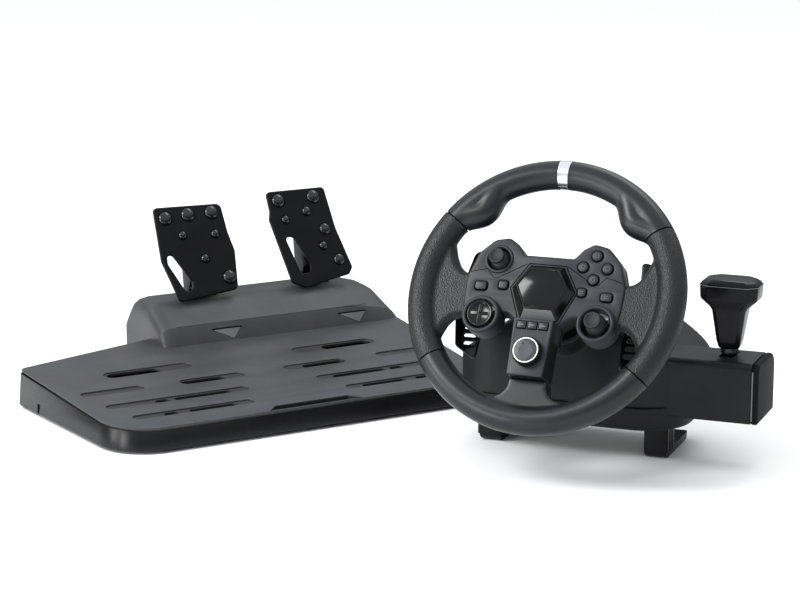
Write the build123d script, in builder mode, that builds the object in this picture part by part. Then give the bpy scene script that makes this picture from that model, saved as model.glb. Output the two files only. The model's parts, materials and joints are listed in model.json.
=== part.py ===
"""Racing wheel set: a table-top wheel unit with a side shifter, and a two-pedal floor unit.

Three local frames are used, all in millimetres.
  base frame   +X to the driver's right, +Y away from the driver, +Z up, z = 0 on the floor
  wheel frame  +X right and +Y up in the face of the wheel, +Z towards the driver
  pedal frame  like the base frame, at the middle of the pedal unit's front edge
Each sub-part is made in one of them and placed by that frame's location before export.
"""

import os
from math import acos, atan2, cos, degrees, pi, radians, sin, tan

from build123d import *

# ---------------------------------------------------------------- layout
UNIT_X, UNIT_Y = 207.2, -191.235  # wheel unit's reference point on the floor
WHEEL_HEIGHT = 180.0  # wheel centre above the floor
WHEEL_TILT = 30.0  # the top of the wheel leans away from the driver
PEDAL_X, PEDAL_Y = -269.0, 66.0  # pedal unit, seen from the wheel unit's reference point
PEDAL_YAW = 52.0

BASE = Location((UNIT_X, UNIT_Y, 0))
WHEEL = BASE * Location((0, 0, WHEEL_HEIGHT), (90 - WHEEL_TILT, 0, 0))
PEDALS = BASE * Location((PEDAL_X, PEDAL_Y, 0), (0, 0, PEDAL_YAW))

# ---------------------------------------------------------------- wheel
RIM_R = 125.5  # rim centreline radius
GRIP_R = 14.5  # radius of the rim's section
CORE_R = 6.0  # radius of the armature ring inside the grips
BULGE_R, BULGE_IN, BULGE_HALF = 15.2, 10.0, 3.5  # thumb rests: radius, offset inwards, half angle
TOP_JOINT = 34.0  # grip joints, in degrees above and below the horizontal
LOW_JOINT = 35.0
MARKER_HALF = 2.7  # half angle of the marker band at twelve o'clock
JOINT_GAP = 0.35  # groove at each grip joint, in degrees
ARM_BACK, ARM_FRONT = -8.0, -2.0  # armature bars, along the wheel's axis
BAR_W = 24.0
BAR_Y = -6.0  # height of the side bars
HUB_BACK, HUB_FACE = -9.0, 8.0  # front cover
HUB_STEP = 1.2  # small step round the cover's face
REAR_STEP, REAR_DEPTH = -17.0, -28.0  # shoulder and back of the rear cover
SKIN = 2.5  # plastic wall
POD_X, POD_Y, POD_R, POD_TOP = 58.0, -27.0, 19.0, 14.0
STICK_X, STICK_Y = -50.5, 31.5
STICK_PIVOT, POD_PIVOT, DPAD_PIVOT = -2.0, 3.0, 8.4  # pivots of the sticks and the direction pad
STICK_HEIGHT = 22.0  # from a stick's pivot to its cap's rim
DPAD_R = 13.2
GIMBAL_R, GIMBAL_PIN_R, GIMBAL_HALF = 1.5, 1.2, 16.0
STICK_BLOCK, DPAD_BLOCK = 6.0, 4.4  # heights of the gimbals' middle blocks
DOME_R, WELL_R = 12.0, 11.5
FACE_X, FACE_Y, FACE_SPREAD = 47.8, 29.8, 12.2  # four action buttons in a diamond
BUTTON_R, BUTTON_TOP, BUTTON_FOOT = 5.0, 9.8, 1.6
FIT = 0.3  # gap round a moving cap
CONSOLE_TOP, CONSOLE_LOW = -30.0, -87.0
CONSOLE_FACE = 22.0
KNOB_Y, KNOB_R, KNOB_TOP = -64.0, 14.5, 31.0
ROW_Y, ROW_STEP = -37.0, 11.0  # three small buttons in a row
PADDLE_PIN_X, PADDLE_PIN_Z = 34.0, -34.0
SHAFT_R = 8.0
SHAFT_END = -150.0
GEAR_Z, GEAR_W = -112.0, 8.0  # encoder gear on the shaft
SEAT_END = -92.0  # inner end of the bearing seat
MODULE, GEAR_TEETH, PINION_TEETH = 1.0, 48, 16

# ---------------------------------------------------------------- wheel base
BODY_X, BODY_Y0, BODY_Y1 = 122.0, 58.0, 206.0
BODY_Z0, SPLIT_Z, BODY_Z1 = 36.0, 60.0, 146.0
SHOULDER_X, SHOULDER_Z = 46.0, 94.0  # the sides slope from the top at this x to the end walls at this z
WALL = 3.0
PLINTH_X, PLINTH_Y0, PLINTH_Y1, PLINTH_Z = 67.0, 88.0, 190.0, 30.0
PAD_T = 2.0
NOSE_R, NOSE_Z = 33.0, -50.0  # column nose round the shaft
BOX_X0, BOX_X1, BOX_Y0, BOX_Y1, BOX_Z0, BOX_Z1 = 104.0, 189.0, 72.0, 143.0, 51.0, 112.0
CAP_X1 = 196.0
SHIFT_X, SHIFT_Y, SHIFT_Z = 158.0, 107.0, 80.0  # shifter pivot
COLLAR_Z = 115.0  # bottom of the stem's collar
CLAMP_X, CLAMP_W, CLAMP_Y0, CLAMP_Y1 = 89.0, 25.0, 91.0, 118.0
CLAMP_TOP, JAW_Y1, JAW_T = 86.0, 174.0, 10.0

# ---------------------------------------------------------------- pedals
FRONT_X, REAR_X, SIDE_Y, BACK_Y = 227.0, 243.0, 246.0, 356.0
CORNER_R = 55.0  # the deck's two front corners in plan
LIP_Z, RISE = 27.0, 0.07  # front lip height, and the deck's rise per millimetre of depth
FOOT_T = 3.0
HOUSING_X0, HOUSING_X1 = -66.0, 242.0
PEDAL_PIVOT_Y, PEDAL_PIVOT_Z = 318.0, 42.0
SLOT_Y, SLOT_L = 318.0, 45.0  # openings for the arms in the housing's top
BRAKE_X, ACCEL_X = 7.0, 154.0
ARM_W = 28.0
PAD_LEAN = 26.0  # the pads lean back from the vertical
PLATE_OFF = ARM_W / 2 + 7  # from an arm's middle to its pivot plates
PIN_R = 4.0


def export(part, name, place):
    """Places a finished part by its frame and writes it as one STEP file."""
    placed = place * part
    placed.label = name
    export_step(placed, f"parts/{name}.step")


def main_solid(part):
    """The largest solid of a part, without the crumbs that a cut can leave."""
    with BuildPart() as main:
        add(part.solids().sort_by(SortBy.VOLUME)[-1])
    return main.part


# ================================================================ wheel body
def ring_arc(start, end, radius, centreline=RIM_R):
    """A length of the rim's tube from one angle to another, anticlockwise from +X."""
    a = radians(start)
    section = Plane(origin=(0, 0, 0), x_dir=(cos(a), sin(a), 0), z_dir=(sin(a), -cos(a), 0))
    with BuildPart() as arc:
        with BuildSketch(section):
            with Locations((centreline, 0)):
                Circle(radius)
        revolve(axis=Axis.Z, revolution_arc=end - start)
    return arc.part


def armature():
    """The moulded skeleton: a ring, three bars and a hub plate that takes the shaft."""
    with BuildPart() as frame:
        with BuildSketch(Plane.XY.offset(ARM_BACK)):
            Circle(30)
            with Locations((0, BAR_Y)):
                Rectangle(2 * RIM_R, BAR_W)
            with Locations((0, -RIM_R / 2)):
                Rectangle(BAR_W, RIM_R)
            with PolarLocations(22, 4, start_angle=45):
                Circle(2, mode=Mode.SUBTRACT)
        extrude(amount=ARM_FRONT - ARM_BACK)
        Torus(RIM_R, CORE_R)
    return frame.part


def grip(start, end, bulge_at=None):
    """One moulded grip, hollow where the armature ring runs through it."""
    with BuildPart() as part:
        add(ring_arc(start, end, GRIP_R))
        if bulge_at is not None:
            add(ring_arc(bulge_at - BULGE_HALF, bulge_at + BULGE_HALF, BULGE_R, RIM_R - BULGE_IN))
            for angle in (radians(bulge_at - BULGE_HALF), radians(bulge_at + BULGE_HALF)):
                with Locations(((RIM_R - BULGE_IN) * cos(angle), (RIM_R - BULGE_IN) * sin(angle), 0)):
                    Sphere(BULGE_R)
        add(ring_arc(start - 12, end + 12, CORE_R), mode=Mode.SUBTRACT)
        bar_slots()
    return part.part


def bar_slots():
    """Cuts the room of the armature's bars out of the part being built."""
    mid = (ARM_BACK + ARM_FRONT) / 2
    thick = ARM_FRONT - ARM_BACK
    with Locations((0, BAR_Y, mid)):
        Box(2 * RIM_R, BAR_W, thick, mode=Mode.SUBTRACT)
    with Locations((0, -RIM_R / 2, mid)):
        Box(BAR_W, RIM_R, thick, mode=Mode.SUBTRACT)


def bottom_grip():
    """The lower grip, in one moulding with the flared foot of the bottom spoke."""
    with BuildPart() as part:
        add(ring_arc(180 + LOW_JOINT + JOINT_GAP, 360 - LOW_JOINT - JOINT_GAP, GRIP_R))
        with BuildSketch(Plane.XY.offset(-11)):
            with BuildLine():
                Polyline((-19, CONSOLE_LOW), (19, CONSOLE_LOW), (20, -96))
                ThreePointArc((20, -96), (25, -104), (46, -109))
                Polyline((46, -109), (46, -RIM_R + 8), (-46, -RIM_R + 8), (-46, -109))
                ThreePointArc((-46, -109), (-25, -104), (-20, -96))
                Line((-20, -96), (-19, CONSOLE_LOW))
            make_face()
        extrude(amount=20)
        add(ring_arc(180, 360, CORE_R), mode=Mode.SUBTRACT)
        bar_slots()
    return part.part


def spoke_web(side):
    """The textured web of one side spoke, moulded round the armature's bar."""
    with BuildPart() as part:
        with BuildSketch(Plane.XY.offset(-11)):
            with BuildLine():
                Line((70 * side, -26), (70 * side, 15))
                Line((70 * side, 15), (84 * side, 13))
                ThreePointArc((84 * side, 13), (98.5 * side, 20.5), (105 * side, 47))
                ThreePointArc((105 * side, 47), (RIM_R * side, 0), (103 * side, -52))
                ThreePointArc((103 * side, -52), (100.5 * side, -34), (87 * side, -25.5))
                Line((87 * side, -25.5), (70 * side, -26))
            make_face()
        extrude(amount=17)
        Torus(RIM_R, GRIP_R, mode=Mode.SUBTRACT)
        bar_slots()
        add(hub_outline_solid(FIT), mode=Mode.SUBTRACT)
    return main_solid(part.part)


def hub_sketch(grow=0):
    """The hub's outline: two horns, two round pods and an arch to the console."""
    with BuildSketch() as sketch:
        with BuildLine():
            Polyline((0, 38), (24, 38), (31, 46.5))
            ThreePointArc((31, 46.5), (36, 51.5), (43, 54))
            ThreePointArc((43, 54), (60, 49.5), (71, 38))
            ThreePointArc((71, 38), (79, 20), (81, 0))
            Polyline((81, 0), (POD_X + POD_R, POD_Y), (POD_X, POD_Y), (41.5, -21.5), (36, -21.5))
            ThreePointArc((36, -21.5), (26, -23.5), (20, CONSOLE_TOP))
            Polyline((20, CONSOLE_TOP), (20, -48), (0, -48), (0, 38))
        make_face()
        mirror(about=Plane.YZ)
        if grow:
            offset(amount=grow)
        with Locations((POD_X, POD_Y), (-POD_X, POD_Y)):
            Circle(POD_R + grow)
    return sketch.sketch


def hub_outline_solid(grow):
    """The whole hub as a plain block, for cutting its room out of a neighbour."""
    with BuildPart() as block:
        with BuildSketch(Plane.XY.offset(REAR_DEPTH)):
            add(hub_sketch(grow))
        extrude(amount=POD_TOP - REAR_DEPTH)
    return block.part


def button_spots():
    """Name, place and size of every push button on the hub's face; a size is a radius or a rectangle."""
    d = FACE_SPREAD
    return {
        "button_up": ((FACE_X, FACE_Y + d), BUTTON_R),
        "button_right": ((FACE_X + d, FACE_Y), BUTTON_R),
        "button_down": ((FACE_X, FACE_Y - d), BUTTON_R),
        "button_left": ((FACE_X - d, FACE_Y), BUTTON_R),
        "menu_button_right": ((38.5, 4.0), (8.0, 8.0)),
        "mode_button_right": ((63.5, 1.0), (11.0, 8.0)),
        "menu_button_left": ((-41.5, 5.5), (9.0, 8.0)),
        "mode_button_left": ((-64.0, 3.0), (11.5, 8.0)),
    }


def button_shape(size, grow):
    """The section of a button's cap, drawn in the sketch being built."""
    if isinstance(size, tuple):
        RectangleRounded(size[0] + 2 * grow, size[1] + 2 * grow, 2.4 + grow)
    else:
        Circle(size + grow)


def hub_front_cover():
    """The moulded face of the hub: a skin with side walls, wells, pods and button holes."""
    side_slot = (ARM_BACK + ARM_FRONT) / 2
    with BuildPart() as cover:
        with BuildSketch(Plane.XY.offset(HUB_BACK)):
            add(hub_sketch())
        extrude(amount=HUB_FACE - HUB_STEP - HUB_BACK)
        with BuildSketch(Plane.XY.offset(HUB_FACE - HUB_STEP)):
            add(hub_sketch(-HUB_STEP))
        extrude(amount=HUB_STEP)
        with BuildSketch(Plane.XY.offset(HUB_FACE - 1)):
            with Locations((POD_X, POD_Y), (-POD_X, POD_Y)):
                Circle(POD_R - 0.5)
        extrude(amount=POD_TOP - HUB_FACE + 1)
        with BuildSketch(Plane.XY.offset(HUB_BACK)):
            add(hub_sketch(-SKIN))
        extrude(amount=HUB_FACE - SKIN - HUB_BACK, mode=Mode.SUBTRACT)
        with BuildSketch(Plane.XY.offset(HUB_BACK)):  # room inside and through the two pods
            with Locations((POD_X, POD_Y), (-POD_X, POD_Y)):
                Circle(POD_R - 4.5)
        extrude(amount=POD_TOP - HUB_BACK + 1, mode=Mode.SUBTRACT)
        with BuildSketch(Plane.XY.offset(HUB_BACK)):  # well of the upper stick
            with Locations((STICK_X, STICK_Y)):
                Circle(WELL_R)
        extrude(amount=HUB_FACE - HUB_BACK + 1, mode=Mode.SUBTRACT)
        with Locations((STICK_X - 14.75, STICK_Y, 0), (STICK_X + 14.75, STICK_Y, 0)):
            Box(3.5, 6, 2 * (HUB_FACE - SKIN) + 1)  # posts for the upper stick's shaft
        for x, y, z in [(STICK_X, STICK_Y, STICK_PIVOT), (POD_X, POD_Y, POD_PIVOT),
                        (-POD_X, POD_Y, DPAD_PIVOT)]:
            with Locations(Location((x, y, z), (0, 90, 0))):
                Cylinder(GIMBAL_R + 0.04, 2 * GIMBAL_HALF + 1, mode=Mode.SUBTRACT)
        for spot, size in button_spots().values():
            with BuildSketch(Plane.XY.offset(HUB_BACK)):
                with Locations(spot):
                    button_shape(size, FIT)
            extrude(amount=HUB_FACE - HUB_BACK + 1, mode=Mode.SUBTRACT)
        with Locations((0, -10, HUB_FACE - SKIN / 2)):  # cable way under the console
            Box(26, 30, SKIN, mode=Mode.SUBTRACT)
        with Locations((0, BAR_Y, side_slot), (0, -60, side_slot)):  # notches for the three bars
            Box(180, BAR_W + 1, 7, mode=Mode.SUBTRACT)
        with Locations((0, -50, side_slot)):
            Box(BAR_W + 1, 20, 7, mode=Mode.SUBTRACT)
    return main_solid(cover.part)


def hub_rear_cover():
    """The back of the hub, with a shaft hole and two lugs and a pin for each paddle."""
    with BuildPart() as cover:
        with BuildSketch(Plane.XY.offset(HUB_BACK)):
            add(hub_sketch())
        extrude(amount=REAR_STEP - HUB_BACK)
        with BuildSketch(Plane.XY.offset(REAR_STEP)):
            add(hub_sketch(-5))
        extrude(amount=REAR_DEPTH - REAR_STEP)
        with BuildSketch(Plane.XY.offset(HUB_BACK)):
            add(hub_sketch(-SKIN))
        extrude(amount=REAR_STEP + SKIN - HUB_BACK, mode=Mode.SUBTRACT)
        with BuildSketch(Plane.XY.offset(REAR_STEP + SKIN)):
            add(hub_sketch(-5 - SKIN))
        extrude(amount=REAR_DEPTH - REAR_STEP, mode=Mode.SUBTRACT)
        with Locations((0, 0, REAR_DEPTH)):
            Cylinder(SHAFT_R + 1, 20, mode=Mode.SUBTRACT)
        for side in (-1, 1):
            for y in (-14, 14):
                with Locations((side * PADDLE_PIN_X, y, (REAR_DEPTH + PADDLE_PIN_Z) / 2 - 1)):
                    Box(9, 4, REAR_DEPTH - PADDLE_PIN_Z + 8)
            with Locations(Location((side * PADDLE_PIN_X, 0, PADDLE_PIN_Z), (90, 0, 0))):
                Cylinder(2, 34)
    return cover.part


def hub_board():
    """The circuit board under the buttons."""
    with BuildPart() as board:
        with BuildSketch(Plane.XY.offset(ARM_FRONT)):
            Rectangle(126, 36)
            with Locations((STICK_X, STICK_Y)):
                Circle(19, mode=Mode.SUBTRACT)
            with Locations((POD_X, POD_Y), (-POD_X, POD_Y)):
                Circle(19, mode=Mode.SUBTRACT)
            with Locations((STICK_X - 14.75, STICK_Y), (STICK_X + 14.75, STICK_Y)):
                Rectangle(5, 8, mode=Mode.SUBTRACT)
        extrude(amount=1.6)
    return board.part


def push_button(spot, size):
    """A cap with a flange under the skin that keeps it in."""
    with BuildPart() as cap:
        with BuildSketch(Plane.XY.offset(HUB_FACE - SKIN - 1.7)):
            with Locations(spot):
                button_shape(size, 0.9)
        extrude(amount=1.3)
        with BuildSketch(Plane.XY.offset(BUTTON_FOOT)):
            with Locations(spot):
                button_shape(size, 0)
        extrude(amount=BUTTON_TOP - BUTTON_FOOT)
        fillet(cap.faces().sort_by(Axis.Z)[-1].edges(), radius=0.8)
    return cap.part


def screen_bezel():
    """The six-sided frame of the screen, its sides falling away to the hub's face."""
    outer = [(-17, 27.6), (17, 27.6), (32, 3.3), (18, -27.7), (-18, -27.7), (-32, 3.3)]
    inner = [(-16, 24.4), (16, 24.4), (27.5, 4.5), (14.5, -18.5), (-14.5, -18.5), (-27.5, 4.5)]
    with BuildPart() as bezel:
        with BuildSketch(Plane.XY.offset(HUB_FACE)):
            Polygon(*outer, align=None)
        with BuildSketch(Plane.XY.offset(HUB_FACE + 9)):
            Polygon(*inner, align=None)
        loft()
        with BuildSketch(Plane.XY.offset(HUB_FACE + 9)):
            Polygon(*inner, align=None)
            offset(amount=-1.4, kind=Kind.INTERSECTION)
        extrude(amount=-2.2, mode=Mode.SUBTRACT)
    return bezel.part


def screen_glass():
    """The glossy window that lies in the bezel."""
    inner = [(-16, 24.4), (16, 24.4), (27.5, 4.5), (14.5, -18.5), (-14.5, -18.5), (-27.5, 4.5)]
    with BuildPart() as glass:
        with BuildSketch(Plane.XY.offset(HUB_FACE + 6.8)):
            Polygon(*inner, align=None)
            offset(amount=-1.5, kind=Kind.INTERSECTION)
        extrude(amount=1.8)
    return glass.part


def console_panel():
    """The raised panel under the screen that holds the row of buttons and the rotary knob."""
    face = [(-20, CONSOLE_TOP), (20, CONSOLE_TOP), (18, CONSOLE_LOW), (-18, CONSOLE_LOW)]
    with BuildPart() as panel:
        with BuildSketch(Plane.XY.offset(HUB_FACE)):
            Polygon(*face, align=None)
        extrude(amount=CONSOLE_FACE - HUB_FACE)
        with BuildSketch(Plane.XY.offset(-11)):  # skirt round the bar, below the hub
            with Locations((0, (CONSOLE_LOW - 48.3) / 2)):
                Rectangle(36, -48.3 - CONSOLE_LOW)
        extrude(amount=HUB_FACE + 11)
        chamfer(panel.faces().sort_by(Axis.Z)[-1].edges(), length=1.2)
        with Locations((0, (CONSOLE_TOP + CONSOLE_LOW) / 2, (HUB_FACE + CONSOLE_FACE - SKIN) / 2)):
            Box(33, CONSOLE_TOP - CONSOLE_LOW - 4, CONSOLE_FACE - SKIN - HUB_FACE, mode=Mode.SUBTRACT)
        bar_slots()
        with Locations((0, ROW_Y, CONSOLE_FACE)):
            with Locations((-ROW_STEP, 0), (0, 0), (ROW_STEP, 0)):
                Box(9 + 2 * FIT, 7 + 2 * FIT, 8, mode=Mode.SUBTRACT)
        with Locations((0, KNOB_Y, CONSOLE_FACE)):
            Cylinder(3.05, 8, mode=Mode.SUBTRACT)
    return panel.part


def row_button(x):
    """One of the three small buttons in the console's row."""
    with BuildPart() as cap:
        with Locations((x, ROW_Y, (CONSOLE_FACE - 7 + CONSOLE_FACE + 1.4) / 2)):
            Box(9, 7, 8.4)
        fillet(cap.faces().sort_by(Axis.Z)[-1].edges(), radius=0.7)
        with Locations((x, ROW_Y, CONSOLE_FACE - SKIN - 1)):
            Box(10.2, 8, 1.2)
    return cap.part


def rotary_knob():
    """The console's rotary selector, a knurled drum on a stub shaft."""
    with BuildPart() as knob:
        with BuildSketch(Plane.XY.offset(CONSOLE_FACE + 0.4)):
            with Locations((0, KNOB_Y)):
                Circle(KNOB_R)
                with PolarLocations(KNOB_R + 0.4, 36):
                    Circle(0.8, mode=Mode.SUBTRACT)
        extrude(amount=KNOB_TOP - CONSOLE_FACE - 0.4)
        with BuildSketch(Plane.XY.offset(KNOB_TOP - 1)):
            with Locations((0, KNOB_Y)):
                Circle(11)
        extrude(amount=1.1, mode=Mode.SUBTRACT)
        with BuildSketch(Plane.XY.offset(CONSOLE_FACE - 8)):
            with Locations((0, KNOB_Y)):
                Circle(3)
        extrude(amount=8.5)
    return knob.part


def gimbal(x, y, z, height):
    """A cross: a shaft that turns in the cover, and a pin across it for the stick's fork."""
    with BuildPart() as cross:
        with Locations(Location((x, y, z), (0, 90, 0))):
            Cylinder(GIMBAL_R, 2 * GIMBAL_HALF)
        with Locations(Location((x, y, z), (90, 0, 0))):
            Cylinder(GIMBAL_PIN_R, 10.4)
        with Locations((x, y, z)):
            Box(5, 6, height)
    return cross.part


def gimbal_fork(top):
    """Two cheeks round the gimbal's square and a bridge over it, up to the given height."""
    with Locations((0, 4.3, (top - 2) / 2), (0, -4.3, (top - 2) / 2)):
        Box(4.6, 1.8, top + 2)
    with Locations((0, 0, top - 0.9)):
        Box(4.6, 10, 1.8)
    with Locations(Location((0, 0, 0), (90, 0, 0))):
        Cylinder(GIMBAL_PIN_R + 0.04, 12, mode=Mode.SUBTRACT)


def thumb_stick(x, y, z, cap_r):
    """A thumb stick: fork, dome, stem and dished cap."""
    with BuildPart() as stick:
        with Locations((x, y, z)):
            Sphere(DOME_R)
            Sphere(DOME_R - 1.5, mode=Mode.SUBTRACT)
            with Locations((0, 0, 6 - DOME_R)):
                Box(2 * DOME_R, 2 * DOME_R, 2 * DOME_R, mode=Mode.SUBTRACT)
            gimbal_fork(6)
            with Locations((0, 0, 11.5)):
                Cylinder(3.6, 14)
            with Locations((0, 0, STICK_HEIGHT - 2)):
                Cylinder(cap_r, 4)
            with Locations((0, 0, STICK_HEIGHT + 24)):
                Sphere(24.6, mode=Mode.SUBTRACT)
    return stick.part


def direction_pad():
    """The dished direction pad in the left pod, with its fork below."""
    with BuildPart() as pad:
        with Locations((-POD_X, POD_Y, DPAD_PIVOT)):
            with Locations((0, 0, 5.5)):
                Cylinder(DPAD_R, 3.6)
            with Locations((0, 0, 7.3 + 38)):
                Sphere(39.2, mode=Mode.SUBTRACT)
            with Locations((0, 0, 5.7)):
                Box(18, 5, 2.4)
                Box(5, 18, 2.4)
            gimbal_fork(4.8)
    return pad.part


def paddle(side):
    """One gear-change paddle: a tall blade, an arm and a hinge barrel on the rear cover's pin."""
    blade = [(74, -60), (97, -47), (103, -12), (99, 24), (93, 52), (79, 55), (82, 26), (76, 4), (72, -30)]
    with BuildPart() as part:
        with BuildSketch(Plane.XY.offset(PADDLE_PIN_Z - 8)):
            Polygon(*[(side * x, y) for x, y in blade], align=None)
            with Locations((side * (PADDLE_PIN_X + 78) / 2, 0)):
                Rectangle(78 - PADDLE_PIN_X, 20)
        extrude(amount=4)
        fillet(part.faces().sort_by(Axis.Z)[-1].edges(), radius=0.9)
        with Locations(Location((side * PADDLE_PIN_X, 0, PADDLE_PIN_Z), (90, 0, 0))):
            Cylinder(5, 23.4)
            Cylinder(2.06, 60, mode=Mode.SUBTRACT)
    return part.part


def steering_shaft():
    """The shaft from the armature's hub plate into the base."""
    with BuildPart() as shaft:
        with Locations((0, 0, (ARM_BACK + SHAFT_END) / 2)):
            Cylinder(SHAFT_R, ARM_BACK - SHAFT_END)
    return shaft.part


def involute_gear(teeth, x, turn):
    """A spur gear whose teeth have involute flanks with a little backlash."""
    pitch = MODULE * teeth / 2
    base = pitch * cos(radians(20))
    tip, root = pitch + 0.9 * MODULE, pitch - 1.2 * MODULE
    half = pi / 2 / teeth * 0.9 + tan(radians(20)) - radians(20)

    def flank(r):
        a = acos(min(1.0, base / r))
        return half - (tan(a) - a)

    radii = [max(base, root) + (tip - max(base, root)) * k / 4 for k in range(5)]
    right = [(r, -flank(r)) for r in radii]
    outline = []
    for tooth in range(teeth):
        mid = 2 * pi * tooth / teeth + turn
        points = [(root, -flank(radii[0])), *right]
        points += [(r, -a) for r, a in reversed(points)]
        outline += [(x + r * cos(mid + a), r * sin(mid + a)) for r, a in points]
    with BuildPart() as gear:
        with BuildSketch(Plane.XY.offset(GEAR_Z)):
            Polygon(*outline, align=None)
            with Locations((x, 0)):
                Circle(SHAFT_R if teeth == GEAR_TEETH else 2.5, mode=Mode.SUBTRACT)
        extrude(amount=GEAR_W)
    return gear.part


def gear_distance():
    """Centre distance of the encoder gear pair."""
    return MODULE * (GEAR_TEETH + PINION_TEETH) / 2


def encoder_pinion():
    """The pinion with its own stub shaft."""
    x = gear_distance()
    with BuildPart() as pinion:
        add(involute_gear(PINION_TEETH, x, pi / PINION_TEETH + pi))
        with Locations((x, 0, GEAR_Z + 1)):
            Cylinder(2.5, GEAR_W + 10)
    return pinion.part


# ================================================================ wheel base
def base_outline(grow, height, z):
    """A plain block with the base's plan shape."""
    with BuildPart() as block:
        with BuildSketch(Plane.XY.offset(z)):
            with Locations((0, (BODY_Y0 + BODY_Y1) / 2)):
                Rectangle(2 * (BODY_X + grow), BODY_Y1 - BODY_Y0 + 2 * grow)
        extrude(amount=height)
        fillet(block.edges().filter_by(Axis.Z).group_by(Axis.Y)[0], radius=52 + grow)
        fillet(block.edges().filter_by(Axis.Z).group_by(Axis.Y)[-1], radius=30 + grow)
    return block.part


def base_block(grow):
    """The upper body as a plain domed block, also used to fit its neighbours to it."""
    slope = atan2(BODY_Z1 - SHOULDER_Z, BODY_X - SHOULDER_X)
    top_x = SHOULDER_X + grow * tan(slope / 2)
    end_z = SHOULDER_Z + grow * tan(pi / 4 - slope / 2)
    end_x, top_z, low_z = BODY_X + grow, BODY_Z1 + grow, SPLIT_Z - 1
    with BuildPart() as block:
        add(base_outline(grow, BODY_Z1 + grow - SPLIT_Z, SPLIT_Z))
        fillet(block.faces().sort_by(Axis.Z)[-1].edges(), radius=28)
        with BuildSketch(Plane.XZ):
            Polygon((-end_x, low_z), (-end_x, end_z), (-top_x, top_z), (top_x, top_z), (end_x, end_z),
                    (end_x, low_z), align=None)
        extrude(amount=-BODY_Y1 - 40, mode=Mode.INTERSECT)
    return block.part


def nose(radius, start, end):
    """A cylinder along the steering axis, in the base frame."""
    tilt = Location((0, 0, WHEEL_HEIGHT), (90 - WHEEL_TILT, 0, 0))
    with BuildPart() as bar:
        with Locations((0, 0, (start + end) / 2)):
            Cylinder(radius, abs(end - start))
    return tilt * bar.part


def base_upper_shell():
    """The domed body shell with the column nose and two bearing seats."""
    with BuildPart() as shell:
        add(base_block(0))
        add(nose(NOSE_R, NOSE_Z, -125))
        add(base_block(-WALL), mode=Mode.SUBTRACT)
        add(nose(NOSE_R - WALL, NOSE_Z - WALL, -125), mode=Mode.SUBTRACT)
        with Locations((0, 130, SPLIT_Z - 20)):
            Box(300, 300, 40, mode=Mode.SUBTRACT)
        add(nose(20, NOSE_Z - WALL, SEAT_END))
        add(nose(16, -58, SEAT_END - 1), mode=Mode.SUBTRACT)
        add(nose(SHAFT_R + 1.5, NOSE_Z + 5, -80), mode=Mode.SUBTRACT)
        with Locations((BODY_X, SHIFT_Y, 86)):  # cable way to the shifter
            Box(40, 24, 16, mode=Mode.SUBTRACT)
    return main_solid(shell.part)


def column_bearings():
    """Two ring bearings that carry the shaft in the nose."""
    with BuildPart() as rings:
        for z in (-63.5, -85):
            add(nose(16, z - 4, z + 4))
            add(nose(SHAFT_R + 0.03, z - 5, z + 5), mode=Mode.SUBTRACT)
    return rings.part


def base_lower_shell():
    """The tray under the body, with its plinth, clamp slots and rear sockets."""
    with BuildPart() as tray:
        add(base_outline(0, SPLIT_Z - BODY_Z0, BODY_Z0))
        fillet(tray.faces().sort_by(Axis.Z)[0].edges(), radius=6)
        with BuildSketch(Plane.XY.offset(PLINTH_Z)):
            with Locations((0, (PLINTH_Y0 + PLINTH_Y1) / 2)):
                RectangleRounded(2 * PLINTH_X, PLINTH_Y1 - PLINTH_Y0, 8)
        extrude(amount=BODY_Z0 - PLINTH_Z + 1)
        add(base_outline(-WALL, SPLIT_Z - BODY_Z0, BODY_Z0 + WALL), mode=Mode.SUBTRACT)
        for side in (-1, 1):
            with Locations((side * CLAMP_X, (CLAMP_Y0 + CLAMP_Y1) / 2, BODY_Z0)):
                Box(CLAMP_W + 0.8, CLAMP_Y1 - CLAMP_Y0 + 0.8, 30, mode=Mode.SUBTRACT)
        with Locations((-40, BODY_Y1, 49)):  # pedal socket
            Box(13, 20, 11, mode=Mode.SUBTRACT)
        with Locations(Location((-10, BODY_Y1, 49), (90, 0, 0))):  # outlet for the USB lead
            Cylinder(3.2, 20, mode=Mode.SUBTRACT)
        with Locations((-30, 150, BODY_Z0 + WALL + 3), (30, 150, BODY_Z0 + WALL + 3)):
            Cylinder(4, 6)  # board posts
    return tray.part


def foot_pads():
    """Four round rubber pads under the plinth."""
    with BuildPart() as pads:
        with Locations((0, (PLINTH_Y0 + PLINTH_Y1) / 2, PLINTH_Z - PAD_T / 2)):
            with GridLocations(100, 72, 2, 2):
                Cylinder(12, PAD_T)
    return pads.part


def base_board():
    """The main board on its posts, with the encoder's block beside it."""
    with BuildPart() as board:
        with Locations((0, 150, BODY_Z0 + WALL + 6.8)):
            Box(100, 70, 1.6)
        with Locations((-22, 150, BODY_Z0 + WALL + 10.6)):
            Box(18, 18, 6)
    return board.part


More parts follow.
